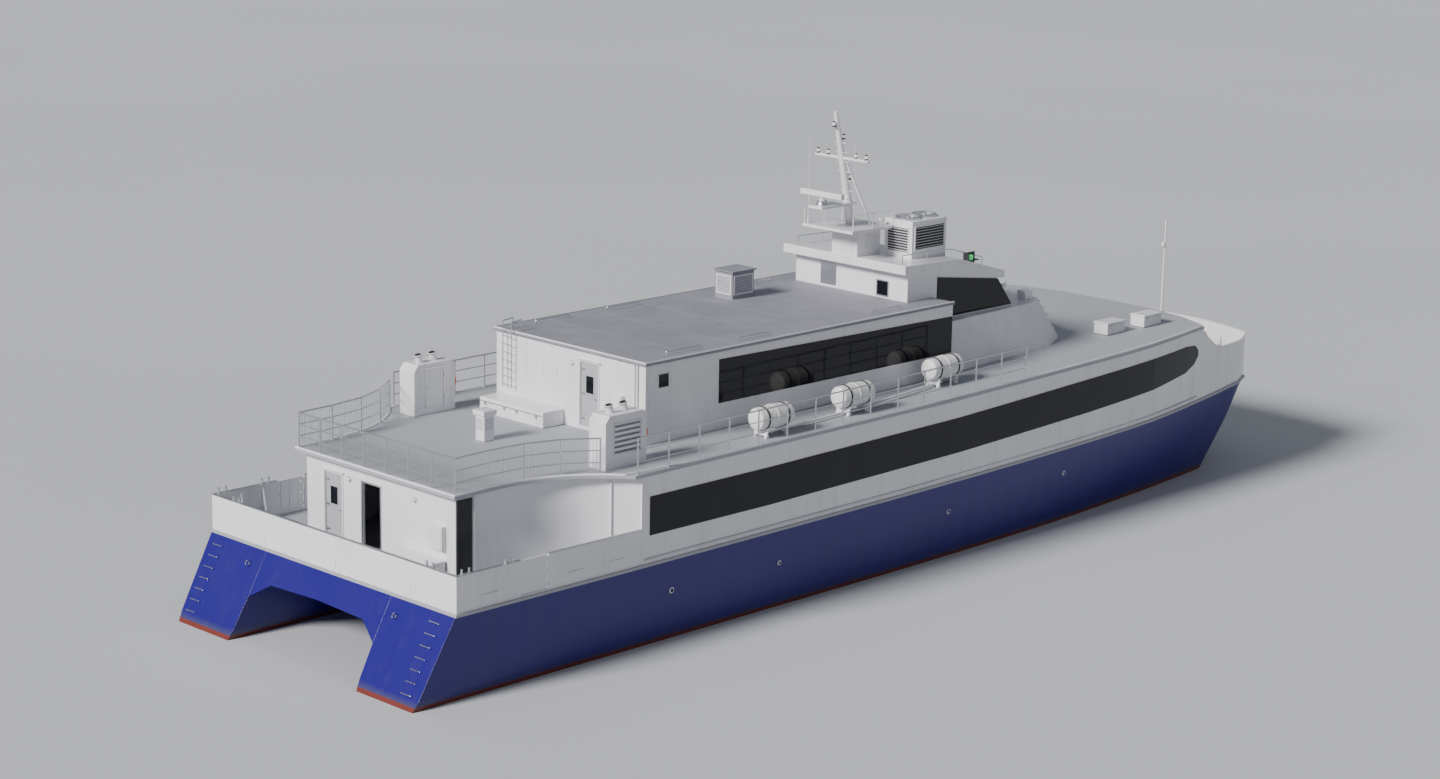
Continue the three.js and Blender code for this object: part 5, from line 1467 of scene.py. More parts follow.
@dataclass
class Wheelhouse:
    """The wheelhouse, its raked dark glass, its roof and its helm."""

    aft: float = 21.5
    aft_pane: tuple[Span, Span] = ((-1.625, -1.175), (7.78, 8.23))
    unit: tuple[Span, Span, Span] = ((22.3, 24.0), (-1.9, -0.7), (8.87, 10.15))
    screen: Span = (24.3, 24.86)  # the sidelights' screens
    roof_rail_y: float = 2.3
    glass_head: Plan = (26.915, 7.95)  # x and height of the front pane's head
    glass_lean: float = 0.8
    glass_out: Point = (0.78, 0.0, 0.62)
    fairing_foot: Point = (29.6, 2.5, 5.2)  # the fairing's forward corner
    fairing_rise: float = 1.7
    helm_x: float = 25.16
    helm_z: float = 6.98
    chairs: tuple[float, ...] = (-0.7, 0.7)
    pads: tuple[tuple[Span, float, Span], ...] = (
        ((24.27, 24.76), 0.25, (6.74, 6.87)), ((24.27, 24.38), 0.24, (6.86, 7.52)),
        ((24.25, 24.35), 0.16, (7.50, 7.70)),
    )

    def build(self, shop: Workshop) -> None:
        """Makes the walls, glass, roof and fairing, then the fittings and the helm."""
        shop.eased("wheelhouse_walls", Finish.WHITE, width=0.006)
        shop.eased("wheelhouse_window_strip", Finish.GLASS, width=0.003, angle=50)
        shop.eased("wheelhouse_roof", Finish.WHITE, width=0.025)
        shop.eased("forward_fairing", Finish.WHITE, width=0.05, angle=12)
        self.aft_window(shop)
        self.roof_unit(shop)
        self.lamps(shop)
        self.wipers(shop)
        self.fairing_gear(shop)
        self.helm(shop)

    def aft_window(self, shop: Workshop) -> None:
        """Makes the small window that looks astern."""
        pane, rim = bmesh.new(), bmesh.new()
        (y0, y1), (z0, z1) = self.aft_pane
        block(pane, (self.aft + 0.02, y0, z0), (self.aft + 0.032, y1, z1), 0.003)
        surround(rim, (self.aft - 0.02, self.aft + 0.03), (y0, y1), (z0, z1), 0.045, "X")
        block(rim, (self.aft - 0.012, 0.65, 7.76), (self.aft + 0.004, 1.35, 8.50), 0.01)
        shop.piece("wheelhouse_aft_window", pane, Finish.GLASS)
        shop.piece("wheelhouse_aft_frame", rim, Finish.METAL)

    def roof_unit(self, shop: Workshop) -> None:
        """Adds grilles, dark panels behind them that are painted shade for the unit's hollow inside, and two
        fans to the machinery unit on the roof.
        """
        (x0, x1), (y0, y1), (z0, z1) = self.unit
        grille, dark, fan = bmesh.new(), bmesh.new(), bmesh.new()
        wide, aft_high = (y0 + 0.16, y1 - 0.16), (z0 + 0.25, z1 - 0.25)
        long, side_high = (x0 + 0.15, x1 - 0.15), (z0 + 0.35, z1 - 0.2)
        # the two dark panels are painted shade: flush sheets where the openings behind the grilles would be
        # dark
        block(dark, (x0 - 0.006, wide[0], aft_high[0]), (x0 + 0.004, wide[1], aft_high[1]), 0.002, 1)
        block(dark, (long[0], y0 - 0.006, side_high[0]), (long[1], y0 + 0.004, side_high[1]), 0.002, 1)
        surround(grille, (x0 - 0.03, x0 + 0.004), wide, aft_high, 0.04, "X", 0.005)
        slats(grille, (x0 - 0.028, x0 - 0.004), wide, aft_high, 9)
        surround(grille, long, (y0 - 0.03, y0 + 0.004), side_high, 0.04, "Y", 0.005)
        slats(grille, long, (y0 - 0.028, y0 - 0.004), side_high, 8, -0.5)
        ring = [(0.0, 0.36), (0.0, 0.42), (0.07, 0.42), (0.09, 0.39), (0.09, 0.36)]
        y = (y0 + y1) / 2
        for x in (x0 + 0.45, x1 - 0.45):
            turned(fan, ring, (x, y, z1 - 0.004), "Z", 32)
            rod(fan, (x, y, z1 - 0.003), (x, y, z1 + 0.05), 0.09, 0.07, 18)
            for i in range(6):
                angle = i * math.pi / 3
                tip = (x + 0.37 * math.cos(angle), y + 0.37 * math.sin(angle), z1 + 0.045)
                rod(fan, (x, y, z1 + 0.045), tip, 0.008, sides=6)
        shop.piece("roof_unit_painted_shade_panels", dark, Finish.DARK)
        shop.piece("roof_unit_grilles", grille, Finish.WHITE)
        shop.piece("roof_unit_fans", fan, Finish.METAL)

    def lamps(self, shop: Workshop) -> None:
        """Adds the sidelights in their screens, a searchlight, two horns and the roof's hand rails."""
        screens, rails, light = bmesh.new(), bmesh.new(), bmesh.new()
        x0, x1 = self.screen
        rise = 0.28
        bulb_line = [(0.0, 0.0), (0.0, 0.07), (0.04, 0.078), (0.12, 0.078), (0.16, 0.07), (0.16, 0.0)]
        for side, lens in ((Side.PORT, Finish.RED), (Side.STARBOARD, Finish.GREEN)):
            s, z = side.value, ROOF_CROWN.at(x0)
            block(screens, (x0, s * 2.40, z - 0.2), (x1, s * 2.43, z + 0.24), 0.006)
            block(screens, (x0, s * 2.41, z - 0.1), (x0 + 0.03, s * 2.64, z + 0.24), 0.006)
            block(screens, (x0, s * 2.41, z - 0.02), (x1, s * 2.64, z + 0.006), 0.006)
            bulb = bmesh.new()
            turned(bulb, bulb_line, (24.52, s * 2.54, z + 0.004), "Z", 20)
            shop.piece(f"sidelight_{side.word}", bulb, lens)
            y = s * self.roof_rail_y
            bends = ((21.4, 0.0), (21.4, rise), (23.8, rise), (25.4, rise), (25.4, 0.0))
            pipe(rails, [(x, y, self.crown(x) + up) for x, up in bends], 0.018, 10)
            for x in (22.6, 23.8):
                rod(rails, (x, y, self.crown(x)), (x, y, self.crown(x) + rise), 0.014)
        z = ROOF_CROWN.at(25.0)
        rod(light, (25.0, 0.9, z - 0.02), (25.0, 0.9, z + 0.22), 0.03)
        drum = [
            (-0.16, 0.0), (-0.16, 0.07), (-0.10, 0.13), (0.12, 0.15),
            (0.14, 0.16), (0.16, 0.15), (0.15, 0.13), (0.13, 0.0),
        ]
        turned(light, drum, (25.02, 0.9, z + 0.34), "X", 24)
        horn = [
            (-0.10, 0.0), (-0.10, 0.05), (0.0, 0.03), (0.22, 0.035), (0.36, 0.085), (0.37, 0.08), (0.37, 0.0),
        ]
        z = ROOF_CROWN.at(24.5)
        for y in (-0.12, 0.12):
            turned(light, horn, (24.5, y, ROOF_CROWN.at(24.6) + 0.20), "X", 20)
            rod(light, (24.5, y, z - 0.02), (24.5, y, z + 0.16), 0.02)
        shop.piece("sidelight_screens", screens, Finish.DARK)
        shop.piece("wheelhouse_roof_rails", rails, Finish.STEEL)
        shop.piece("searchlight_and_horns", light, Finish.METAL)

    @staticmethod
    def crown(x: float) -> float:
        """The roof's height at x, a little sunk so that a foot there is joined to it."""
        return ROOF_CROWN.at(x) - 0.01

    def on_screen(self, y: float, z: float, out: float = 0.035) -> Vector:
        """A point a little out from the leaning front glass, whose outer panes fall back."""
        x, head = self.glass_head
        x += (head - z) * self.glass_lean - 0.25 * max(0.0, abs(y) - 0.5)
        return Vector((x, y, z)) + Vector(self.glass_out) * out

    def wipers(self, shop: Workshop) -> None:
        """Adds a wiper to each front pane, lying on the leaning glass."""
        bm = bmesh.new()
        for y in (-1.0, 0.0, 1.0):
            foot, head = self.on_screen(y - 0.3, 7.03), self.on_screen(y + 0.02, 7.52)
            low, high = self.on_screen(y, 7.32), self.on_screen(y + 0.04, 7.74)
            rod(bm, self.on_screen(y - 0.3, 7.03, -0.01), self.on_screen(y - 0.3, 7.03, 0.05), 0.03)
            rod(bm, foot, head, 0.010, sides=8)
            rod(bm, low, high, 0.009, sides=6)
        shop.piece("window_wipers", bm, Finish.DARK)

    def fairing_gear(self, shop: Workshop) -> None:
        """Adds the lamp box, steps and hand holds on the forward fairing."""
        bm = bmesh.new()
        for side in Side:
            s = side.value
            block(bm, (27.75, s * 1.95, 6.89), (28.15, s * 2.3, 7.22), 0.03)
            for i in range(5):
                z = 5.75 + i * 0.25
                risen = (z - self.fairing_foot[2]) / self.fairing_rise
                x = self.fairing_foot[0] - risen * 1.2 + 0.02  # its corner leans aft and in
                y = self.fairing_foot[1] - risen * 0.2
                bends = ((0.16, 0.42), (0.28, 0.38), (0.14, 0.08), (0.02, 0.12))
                pipe(bm, [(x + out, s * (y - back), z) for out, back in bends], 0.012)
        shop.piece("fairing_lamps_and_steps", bm, Finish.WHITE)

    def helm(self, shop: Workshop) -> None:
        """Makes the helm console with its screens, wheel, levers and padded chairs."""
        shop.eased("helm_console", Finish.DARK, width=0.02)
        screens, works, cushions = bmesh.new(), bmesh.new(), bmesh.new()
        for y in (-1.0, -0.34, 0.34, 1.0):
            block(screens, (25.60, y - 0.27, 7.13), (25.66, y + 0.27, 7.46), 0.012)
            rod(works, (25.66, y, 7.05), (25.66, y, 7.2), 0.03)
        x, z, thick, radius = self.helm_x, self.helm_z, 0.02, 0.19
        turns = [math.pi * i / 4 for i in range(8)]
        rim = [(thick * math.sin(a), radius + thick * math.cos(a)) for a in turns]
        turned(works, rim, (x, 0.0, z), "X", 28)
        for i in range(3):
            angle = math.pi / 2 + i * 2 * math.pi / 3
            end = (x, (radius - 0.005) * math.cos(angle), z + (radius - 0.005) * math.sin(angle))
            rod(works, (x + 0.01, 0, z), end, 0.012)
        rod(works, (x, 0, z), (x + 0.18, 0, z - 0.02), 0.03)
        for y in (-0.62, -0.52, 0.52, 0.62):
            rod(works, (25.42, y, 7.02), (25.36, y, 7.2), 0.009)
            ball(works, (25.36, y, 7.2), 0.025)
        for y in self.chairs:
            for (x0, x1), half, (z0, z1) in self.pads:
                pad(cushions, (x0, y - half, z0), (x1, y + half, z1))
        shop.piece("helm_screens", screens, Finish.GLASS)
        shop.piece("helm_wheel_and_levers", works, Finish.STEEL)
        shop.piece("helm_chair_pads", cushions, Finish.SEAT)


@dataclass
class Mast:
    """The signal mast with its platforms, lamps, aerials and radar scanner."""

    foot: Point = (21.45, 0.0, 9.85)
    top: Point = (20.55, 0.0, 13.7)
    scanner_foot: Point = (20.02, 0.0, 10.698)
    platform: float = 9.93
    yard: Plan = (20.91, 12.195)  # x and height of its lamps' feet
    brackets: tuple[Plan, ...] = ((11.4, 0.22), (12.75, 0.20), (13.2, -0.18))  # heights and reaches
    whips: tuple[Point, ...] = ((20.45, -1.0, 2.6), (20.45, 1.0, 2.6), (22.1, 1.0, 1.7))  # x, y and length
    rung_count: int = 9
    rung_pitch: float = 0.32

    def at(self, z: float) -> Vector:
        """The column's middle at a height."""
        foot, top = Vector(self.foot), Vector(self.top)
        return foot.lerp(top, (z - foot.z) / (top.z - foot.z))

    def build(self, shop: Workshop) -> None:
        """Makes the column and platforms, the scanner and everything they carry."""
        shop.eased("mast", Finish.WHITE, width=0.008, angle=40)
        self.scanner(shop)
        self.rungs(shop)
        self.lamps(shop)
        self.housing(shop)

    def scanner(self, shop: Workshop) -> None:
        """Makes the radar scanner bar with a dark face, and the gearbox that it stands on."""
        shop.eased("radar_scanner", Finish.WHITE, "radar", 0.009, 40)
        face = bmesh.new()
        block(face, (20.096, -0.82, 11.02), (20.104, 0.82, 11.12), 0.003, 1)
        shop.piece("scanner_face", face, Finish.DARK, "radar")
        gear = bmesh.new()
        profile = [(0.0, 0.0), (0.0, 0.2), (0.04, 0.2), (0.10, 0.165), (0.16, 0.165), (0.16, 0.0)]
        turned(gear, profile, self.scanner_foot, "Z", 28)
        x, y, z = self.scanner_foot
        bolts(gear, (x, y, z + 0.047), 0.18, 8, "Z")
        shop.piece("scanner_gearbox", gear, Finish.METAL)

    def rungs(self, shop: Workshop) -> None:
        """Adds climbing rungs up the column and hand rails round the platforms."""
        bm = bmesh.new()
        low, high = self.platform, self.platform + 0.52
        for i in range(self.rung_count):
            z = 10.1 + i * self.rung_pitch
            if 10.5 < z < 10.75:  # the scanner's platform is in the way
                continue
            p = self.at(z)
            for s in (-1, 1):
                pipe(bm, [(p.x, s * 0.09, z), (p.x, s * 0.26, z), (p.x - 0.03, s * 0.26, z + 0.03)], 0.010, 6)
        for y in (-1.07, 1.07):
            pipe(bm, [(20.35, y, low), (20.35, y, high), (22.2, y, high), (22.2, y, low)], 0.014, 8)
            rod(bm, (21.3, y, low), (21.3, y, high), 0.012, sides=8)
        shop.piece("mast_rungs_and_rails", bm, Finish.WHITE)

    def lamps(self, shop: Workshop) -> None:
        """Adds lamps on the column and yard, and whip aerials and small domes on the platforms."""
        bodies, lenses, whips = bmesh.new(), bmesh.new(), bmesh.new()
        spots = [self.at(z) + Vector((reach, 0, 0)) for z, reach in self.brackets]
        spots += [Vector((self.yard[0], y, self.yard[1])) for y in (-1.05, 1.05, -0.6, 0.6)]
        up = Vector((0, 0, 1))
        for p in spots:
            rod(bodies, p, p + up * 0.05, 0.055, sides=16)
            rod(lenses, p + up * 0.045, p + up * 0.15, 0.045, sides=16)
            rod(bodies, p + up * 0.145, p + up * 0.18, 0.055, 0.03, 16)
        for z, reach in self.brackets:
            c = self.at(z)
            rod(bodies, (c.x, 0, z + 0.01), (c.x + reach, 0, z + 0.01), 0.02)
        low = self.platform
        for x, y, length in self.whips:
            rod(whips, (x, y, low), (x, y, low + 0.20), 0.03, 0.022)
            rod(whips, (x, y, low + 0.19), (x, y, low + 0.19 + length), 0.011, 0.005, 8)
        dome = [(0.0, 0.0), (0.0, 0.08), (0.03, 0.09), (0.07, 0.07), (0.10, 0.0)]
        for x, y, base in ((21.0, -0.2, 10.7), (22.0, -0.8, low + 0.01)):
            rod(whips, (x, y, base - 0.01), (x, y, base + 0.16), 0.018)
            turned(whips, dome, (x, y, base + 0.15), "Z", 20)
        shop.piece("mast_lamp_bodies", bodies, Finish.DARK)
        shop.piece("mast_lamp_lenses", lenses, Finish.CLEAR)
        shop.piece("aerials", whips, Finish.WHITE)

    def housing(self, shop: Workshop) -> None:
        """Adds an access panel and a vent to the mast's housing, and a cable run up the column."""
        bm = bmesh.new()
        block(bm, (21.138, -0.35, 9.05), (21.152, 0.35, 9.75), 0.006)
        long, high = (21.5, 21.95), (9.2, 9.6)
        surround(bm, long, (-0.574, -0.556), high, 0.03, "Y", 0.004)
        slats(bm, long, (-0.572, -0.556), high, 6, -0.5)
        low, high = self.at(9.9), self.at(13.4)
        rod(bm, (low.x - 0.15, 0.06, low.z), (high.x - 0.075, 0.02, high.z), 0.02)
        shop.piece("mast_housing_fittings", bm, Finish.WHITE)


@dataclass
class Liferafts:
    """The liferaft canisters on their cradles along both sides of the upper deck."""

    places: tuple[Plan, ...] = ((12.8, 4.85), (16.65, 4.62), (21.5, 4.06))
    axis: float = 0.58
    half: float = 0.74
    radius: float = 0.37
    strap: float = 0.42  # from the canister's middle
    saddle: float = 0.39
    bar_height: float = 0.09

    def build(self, shop: Workshop) -> None:
        """Makes the canisters, their straps and the cradles on each side."""
        for side in Side:
            shells, straps, cradles = bmesh.new(), bmesh.new(), bmesh.new()
            for x, y in self.places:
                self.canister(shells, straps, cradles, (x, y * side.value, UPPER.at(x) + self.axis))
            bar = on(UPPER, [(x, y * side.value) for x, y in self.places], self.bar_height)
            for start, end in zip(bar, bar[1:]):
                rod(cradles, start, end, 0.038)
            node = f"liferafts_{side.word}"
            shop.piece(f"raft_canisters_{side.word}", shells, Finish.CANISTER, replaces=(node,))
            shop.piece(f"raft_straps_{side.word}", straps, Finish.DARK)
            shop.piece(f"raft_cradles_{side.word}", cradles, Finish.WHITE)

    def canister(self, shells: BMesh, straps: BMesh, cradles: BMesh, place: Point) -> None:
        """Adds one canister with domed ends and a joint band, two straps and a cradle."""
        r, h = self.radius, self.half
        dome = [
            (h, 0.0), (h, 0.16), (h - 0.02, 0.24), (h - 0.06, 0.31), (h - 0.13, r - 0.025), (0.05, r - 0.016),
            (0.045, r - 0.002),
        ]
        turned(shells, [(-a, b) for a, b in dome] + dome[::-1], place, "X", 40)
        x, y, z = place
        foot, turns = z - self.axis, [math.radians(v) for v in range(-50, 51, 20)]
        arc = [(y + self.saddle * math.sin(a), z - self.saddle * math.cos(a)) for a in turns]
        for s in (-self.strap, self.strap):
            low, high, under, over = s - 0.025, s + 0.025, r - 0.028, r - 0.002
            turned(straps, [(low, under), (low, over), (high, over), (high, under)], place, "X", 40)
            cradle, at = x + s, [(y - 0.26, foot + 0.06), *arc, (y + 0.26, foot + 0.06)]
            prism(cradles, [(cradle - 0.03, a, b) for a, b in at], (0.06, 0, 0), 0.006)
            for side in (y - 0.22, y + 0.22):
                corner = (cradle - 0.06, side - 0.05, foot + 0.002)
                block(cradles, corner, (cradle + 0.06, side + 0.05, foot + 0.075), 0.006)
        rod(straps, (x + 0.2, y + 0.34, z - 0.16), (x + 0.2, y + 0.34, z - 0.05), 0.03)


@dataclass
class Foredeck:
    """The foredeck inside the bow bulwark, with its mooring gear and the jackstaff."""

    deck: float = 3.45
    staff: Plan = (38.15, -0.4)
    staff_lamp: float = 7.3
    shaft: Plan = (36.7, 0.42)  # the windlass shaft's x and its height over the deck
    side_stays: tuple[float, ...] = (35.6, 36.3, 37.0, 37.6)
    bow_stays: tuple[float, ...] = (-3.2, -1.2, 1.2, 3.2)

    def build(self, shop: Workshop) -> None:
        """Makes the deck, the bulwark with its stays, the windlass, hatches and jackstaff."""
        shop.eased("foredeck", Finish.DECK, width=0.014, angle=40)
        shop.eased("bow_bulwark", Finish.WHITE, width=0.012)
        self.windlass(shop)
        self.bow_fittings(shop)
        self.jackstaff(shop)

    def windlass(self, shop: Workshop) -> None:
        """Makes the windlass, with a warping drum at each end and a chain wheel."""
        bm, z = bmesh.new(), self.deck
        block(bm, (36.3, -0.75, z - SUNK), (37.1, 0.75, z + 0.06), 0.015)
        block(bm, (36.45, -0.28, z + 0.05), (36.95, 0.10, z + 0.62), 0.04)
        x, axis = self.shaft[0], z + self.shaft[1]
        rod(bm, (x, -0.95, axis), (x, 0.85, axis), 0.05, sides=18)
        drum = (
            (-0.16, 0.05), (-0.16, 0.20), (-0.13, 0.20), (-0.09, 0.13),
            (0.06, 0.12), (0.11, 0.17), (0.14, 0.17), (0.14, 0.05),
        )
        for y, s in ((-0.72, -1), (0.62, 1)):
            turned(bm, [(a * s, r) for a, r in drum], (x, y, axis), "Y", 28)
        for y in (-0.45, 0.40):
            block(bm, (x - 0.15, y - 0.05, z + 0.05), (x + 0.15, y + 0.05, z + 0.40), 0.015)
        gypsy = [
            (-0.07, 0.05), (-0.07, 0.23), (-0.04, 0.23), (0.0, 0.15),
            (0.04, 0.23), (0.07, 0.23), (0.07, 0.05),
        ]
        turned(bm, gypsy, (x, 0.24, axis), "Y", 28)
        shop.piece("windlass", bm, Finish.METAL)

    def bow_fittings(self, shop: Workshop) -> None:
        """Adds hatches, bulwark stays, a locker and a lifebuoy each side."""
        metal, stays, boxes, rings = bmesh.new(), bmesh.new(), bmesh.new(), bmesh.new()
        z = self.deck
        for y in (-2.4, 2.4):
            block(metal, (36.0, y - 0.36, z - SUNK), (36.72, y + 0.36, z + 0.05), 0.02)
            block(metal, (36.03, y - 0.33, z + 0.05), (36.69, y + 0.33, z + 0.09), 0.02)
            for step in (-0.2, 0.2):
                rod(metal, (36.02, y + step - 0.05, z + 0.10), (36.02, y + step + 0.05, z + 0.10), 0.018)
            bolts(metal, (36.36, y, z + 0.094), 0.26, 8, "Z")
        for side in Side:
            s = side.value
            for x in self.side_stays:
                y, corners = EDGE.at(x) - 0.085, ((0.01, 0.0), (-0.3, 0.0), (-0.08, 0.85), (0.01, 0.85))
                prism(stays, [(x, s * (y + out), z + up) for out, up in corners], (0.012, 0, 0), 0.003)
            block(boxes, (35.55, s * 1.0, z), (36.05, s * 1.9, z + 0.55), 0.03)
            block(boxes, (35.53, s * 0.98, z + 0.55), (36.07, s * 1.92, z + 0.61), 0.02)
            lifebuoy(rings, (37.98, s * 2.2, z + 0.75), "X")
            block(stays, (38.03, s * 2.2 - 0.05, z + 0.4), (38.16, s * 2.2 + 0.05, z + 0.8), 0.01)
        for y in self.bow_stays:
            x = 38.27 - 0.35 * (y / 4.25) ** 2  # the bow plate bellies forward in the middle
            outline = [(x + 0.01, y, z), (x - 0.3, y, z), (x - 0.08, y, z + 0.9), (x + 0.01, y, z + 0.9)]
            prism(stays, outline, (0, 0.012, 0), 0.003)
        shop.piece("foredeck_hatches", metal, Finish.METAL)
        shop.piece("bow_bulwark_stays", stays, Finish.WHITE)
        shop.piece("foredeck_lockers", boxes, Finish.WHITE)
        shop.piece("bow_lifebuoys", rings, Finish.ORANGE)

    def jackstaff(self, shop: Workshop) -> None:
        """Makes the tapered jackstaff on its flanged foot, with a lamp on a short arm."""
        (x, y), z = self.staff, self.deck
        bm, lamp, height = bmesh.new(), bmesh.new(), self.staff_lamp
        profile = [
            (0.001, 0.0), (0.001, 0.045), (2.0, 0.040), (4.55, 0.026),
            (4.60, 0.044), (4.66, 0.044), (4.72, 0.02), (4.745, 0.0),
        ]
        turned(bm, profile, (x, y, z), "Z", 20)
        shop.piece("jackstaff_pole", bm, Finish.WHITE, replaces=("jackstaff",))
        foot = bmesh.new()
        flange = [(0.0, 0.045), (0.0, 0.11), (0.02, 0.11), (0.04, 0.07), (0.22, 0.055), (0.22, 0.045)]
        turned(foot, flange, (x, y, z), "Z", 20)
        bolts(foot, (x, y, z + 0.025), 0.09, 6, "Z", 0.01)
        shop.piece("jackstaff_foot", foot, Finish.METAL)
        rod(lamp, (x, y, height), (x - 0.12, y, height), 0.012)
        rod(lamp, (x - 0.12, y, height - 0.02), (x - 0.12, y, height + 0.1), 0.04, sides=16)
        shop.piece("jackstaff_lamp", lamp, Finish.CLEAR)


@dataclass
class Waterjets:
    """The two waterjets under the transom: housings, impellers, nozzles and buckets."""

    z: float = -0.52
    hull_y: float = 4.15
    ribs: int = 8
    flange: float = 0.415

    def build(self, shop: Workshop) -> None:
        """Makes each unit and rides its moving parts on their own bodies."""
        for side in Side:
            word, s = side.word, side.value
            shop.eased(f"jet_housing_{word}", Finish.METAL, width=0.004)
            shop.eased(f"impeller_{word}", Finish.IMPELLER, f"rotor_{word}", 0.003)
            shop.eased(f"steering_nozzle_{word}", Finish.METAL, f"steering_{word}", 0.004)
            shop.eased(f"reversing_bucket_{word}", Finish.METAL, f"bucket_{word}", 0.005)
            self.dress(shop, s * self.hull_y, word)

    def dress(self, shop: Workshop, y: float, word: str) -> None:
        """Adds flange bolts, ribs round the housing and a rim on the nozzle's mouth."""
        fixed, rim = bmesh.new(), bmesh.new()
        bolts(fixed, (0.534, y, self.z), self.flange, 16, "X", 0.016)
        corners = ((0.542, 0.34), (0.542, 0.40), (0.30, 0.352), (0.30, 0.32))
        for i in range(self.ribs):
            a = (i + 0.5) * 2 * math.pi / self.ribs
            c, d = math.cos(a), math.sin(a)
            if abs(d) > 0.85:  # the reversing bucket's arms pass over and under
                continue
            outline = [(x, y + c * r, self.z + d * r) for x, r in corners]
            prism(fixed, outline, (0, -d * 0.014, c * 0.014))
        turned(rim, [(-0.036, 0.206), (-0.036, 0.242), (0.0, 0.242), (0.03, 0.234), (0.03, 0.206)],
               (-0.605, y, self.z), "X", 32)
        shop.piece(f"jet_bolts_and_ribs_{word}", fixed, Finish.METAL)
        shop.piece(f"nozzle_rim_{word}", rim, Finish.METAL, f"steering_{word}")


@dataclass
class Seats:
    """Rows of padded seats in both cabins, on floor rails."""

    pitch: float = 1.0
    depth: float = 0.46
    base: float = 0.18
    gap: float = 0.012  # between a cushion's side and its share of the row
    blocks: tuple[tuple[str, Side, Span, Span, Line, int], ...] = (
        ("seats_main", Side.PORT, (13.7, 32.6), (1.3, 4.7), DECK, 7),
        ("seats_main", Side.STARBOARD, (8.6, 32.6), (1.3, 4.7), DECK, 7),
        ("seats_upper", Side.PORT, (13.7, 21.6), (0.7, 2.9), UPPER, 4),
        ("seats_upper", Side.STARBOARD, (10.8, 21.6), (0.7, 2.9), UPPER, 4),
    )

    def build(self, shop: Workshop) -> None:
        """Makes the rows in each half of both cabins."""
        for stem, side, (start, end), (y0, y1), line, places in self.blocks:
            pads, legs = bmesh.new(), bmesh.new()
            xs = [start + i * self.pitch for i in range(math.floor(end - start))]
            width, middle = (y1 - y0) / places, side.value * (y0 + y1) / 2
            ys = [side.value * (y0 + (k + 0.5) * width) for k in range(places)]
            places_at = on(line, [(x, y) for x in xs for y in ys], self.base)
            repeated(pads, self.seat(width / 2 - self.gap), places_at)
            repeated(legs, self.beam((y1 - y0) / 2), on(line, [(x, middle) for x in xs], self.base))
            z = line.at(start)
            block(legs, (start, middle - 0.05, z + 0.05), (start + 0.5, middle + 0.05, z + 0.2), 0.01)
            shop.piece(f"{stem}_{side.word}_pads", pads, Finish.SEAT, replaces=(f"{stem}_{side.word}",))
            shop.piece(f"{stem}_{side.word}_frames", legs, Finish.METAL)

    def seat(self, half: float) -> BMesh:
        """One seat's cushion, back and head pad, at the origin."""
        bm = bmesh.new()
        pad(bm, (0.02, -half, 0.12), (self.depth, half, 0.24))
        pad(bm, (-0.055, -half, 0.20), (0.055, half, 0.70))
        pad(bm, (-0.05, 0.05 - half, 0.70), (0.045, half - 0.05, 0.90))
        return bm

    def beam(self, half: float) -> BMesh:
        """One row's beam and legs, at the origin."""
        bm = bmesh.new()
        block(bm, (0.10, -half, 0.05), (0.20, half, 0.11), 0.008, 1)
        for y in (-0.76 * half, 0.0, 0.76 * half):
            block(bm, (0.08, y - 0.02, 0.006 - self.base), (0.24, y + 0.02, 0.06), 0.005, 1)
            block(bm, (0.02, y - 0.04, 0.004 - self.base), (0.30, y + 0.04, 0.02 - self.base), 0.004, 1)
        return bm


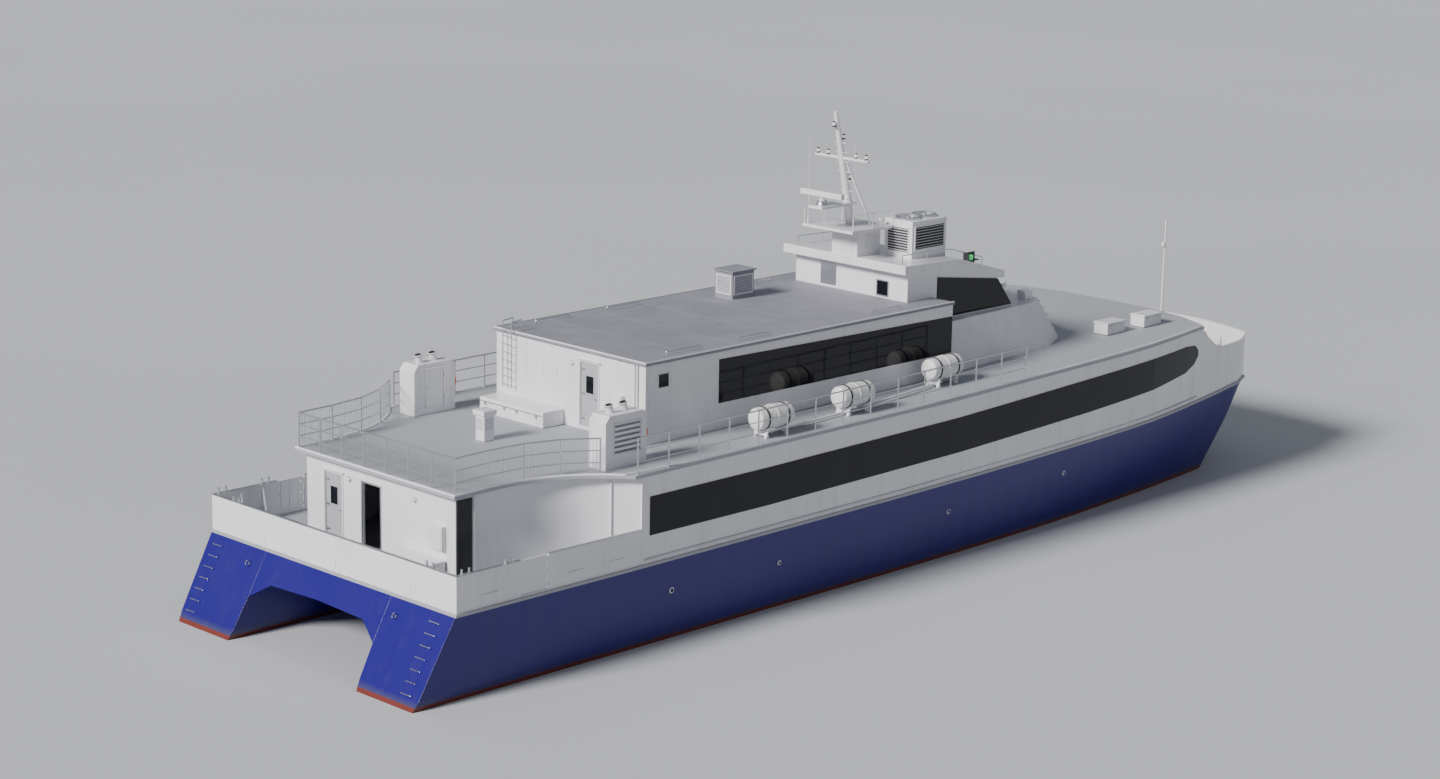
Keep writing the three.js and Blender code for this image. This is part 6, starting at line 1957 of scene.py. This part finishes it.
@dataclass
class Studio:
    """The pale floor at the waterline, soft light and the camera."""

    camera_place: Point = (-66.74, -63.09, 26.60)
    target: Point = (-3.0, 0.0, 5.3)
    lens: float = 73.0
    roll: float = math.radians(1.03)
    floor_size: float = 900.0
    floor_tones: tuple[Colour, Colour] = ((0.52, 0.53, 0.55), (0.56, 0.57, 0.59))
    key_strength: float = 5.2
    key_width: float = math.radians(14)
    key_colour: Colour = (1.0, 0.985, 0.96)
    key_from: Point = (-1.0, 0.12, 0.62)
    sky: Colour = (0.80, 0.84, 0.95)
    sky_strength: float = 0.30

    def build(self) -> None:
        """Makes the floor, the lights, the backdrop and the camera."""
        self.floor()
        self.lights()
        self.camera()

    def floor(self) -> None:
        """Lays the floor at the waterline."""
        bm = bmesh.new()
        bmesh.ops.create_grid(bm, x_segments=1, y_segments=1, size=self.floor_size / 2)
        mesh = bpy.data.meshes.new("studio_floor")
        bm.to_mesh(mesh)
        bm.free()
        floor = bpy.data.objects.new("studio_floor", mesh)
        bpy.context.scene.collection.objects.link(floor)
        material, tree, shader, where = started("pale_floor")
        tone = ramped(tree, noise(tree, where, 0.02, 2.0), 0.3, 0.7)
        tree.links.new(blended(tree, tone, *self.floor_tones), shader.inputs["Base Color"])
        shader.inputs["Roughness"].default_value = 0.85
        mesh.materials.append(material)

    def lights(self) -> None:
        """Sets a soft key from astern and a pale sky."""
        key = bpy.data.lights.new("key", "SUN")
        key.energy = self.key_strength
        key.angle = self.key_width
        key.color = self.key_colour
        lamp = bpy.data.objects.new("key", key)
        lamp.rotation_mode = "QUATERNION"
        lamp.rotation_quaternion = Vector(self.key_from).normalized().to_track_quat("Z", "Y")
        bpy.context.scene.collection.objects.link(lamp)
        world = bpy.data.worlds.new("studio")
        world.use_nodes = True
        sky = world.node_tree.nodes["Background"]
        sky.inputs["Color"].default_value = (*self.sky, 1.0)
        sky.inputs["Strength"].default_value = self.sky_strength
        bpy.context.scene.world = world

    def camera(self) -> None:
        """Sets the camera at the photograph's viewing angle."""
        data = bpy.data.cameras.new("camera")
        data.sensor_width = 36.0
        data.lens = self.lens
        data.clip_end = 2000.0
        camera = bpy.data.objects.new("camera", data)
        look = Vector(self.target) - Vector(self.camera_place)
        turn = look.to_track_quat("-Z", "Y").to_matrix().to_4x4() @ Matrix.Rotation(self.roll, 4, "Z")
        camera.matrix_world = Matrix.Translation(self.camera_place) @ turn
        bpy.context.scene.collection.objects.link(camera)
        bpy.context.scene.camera = camera


def main() -> None:
    """Builds and dresses the ferry."""
    shop = Workshop()
    parts = (
        Hulls(), AftDeck(), MainCabin(), AftHouse(), UpperDeck(), Exhausts(), Stairs(), UpperCabin(),
        Wheelhouse(), Mast(), Liferafts(), Foredeck(), Waterjets(), Seats(),
    )
    for part in parts:
        start = len(shop.made)
        part.build(shop)
        LOG.info("%s: %s", type(part).__name__, ", ".join(shop.made[start:]))
    Studio().build()


if __name__ == "__main__":
    logging.basicConfig(level=logging.INFO, format="%(message)s")
    main()
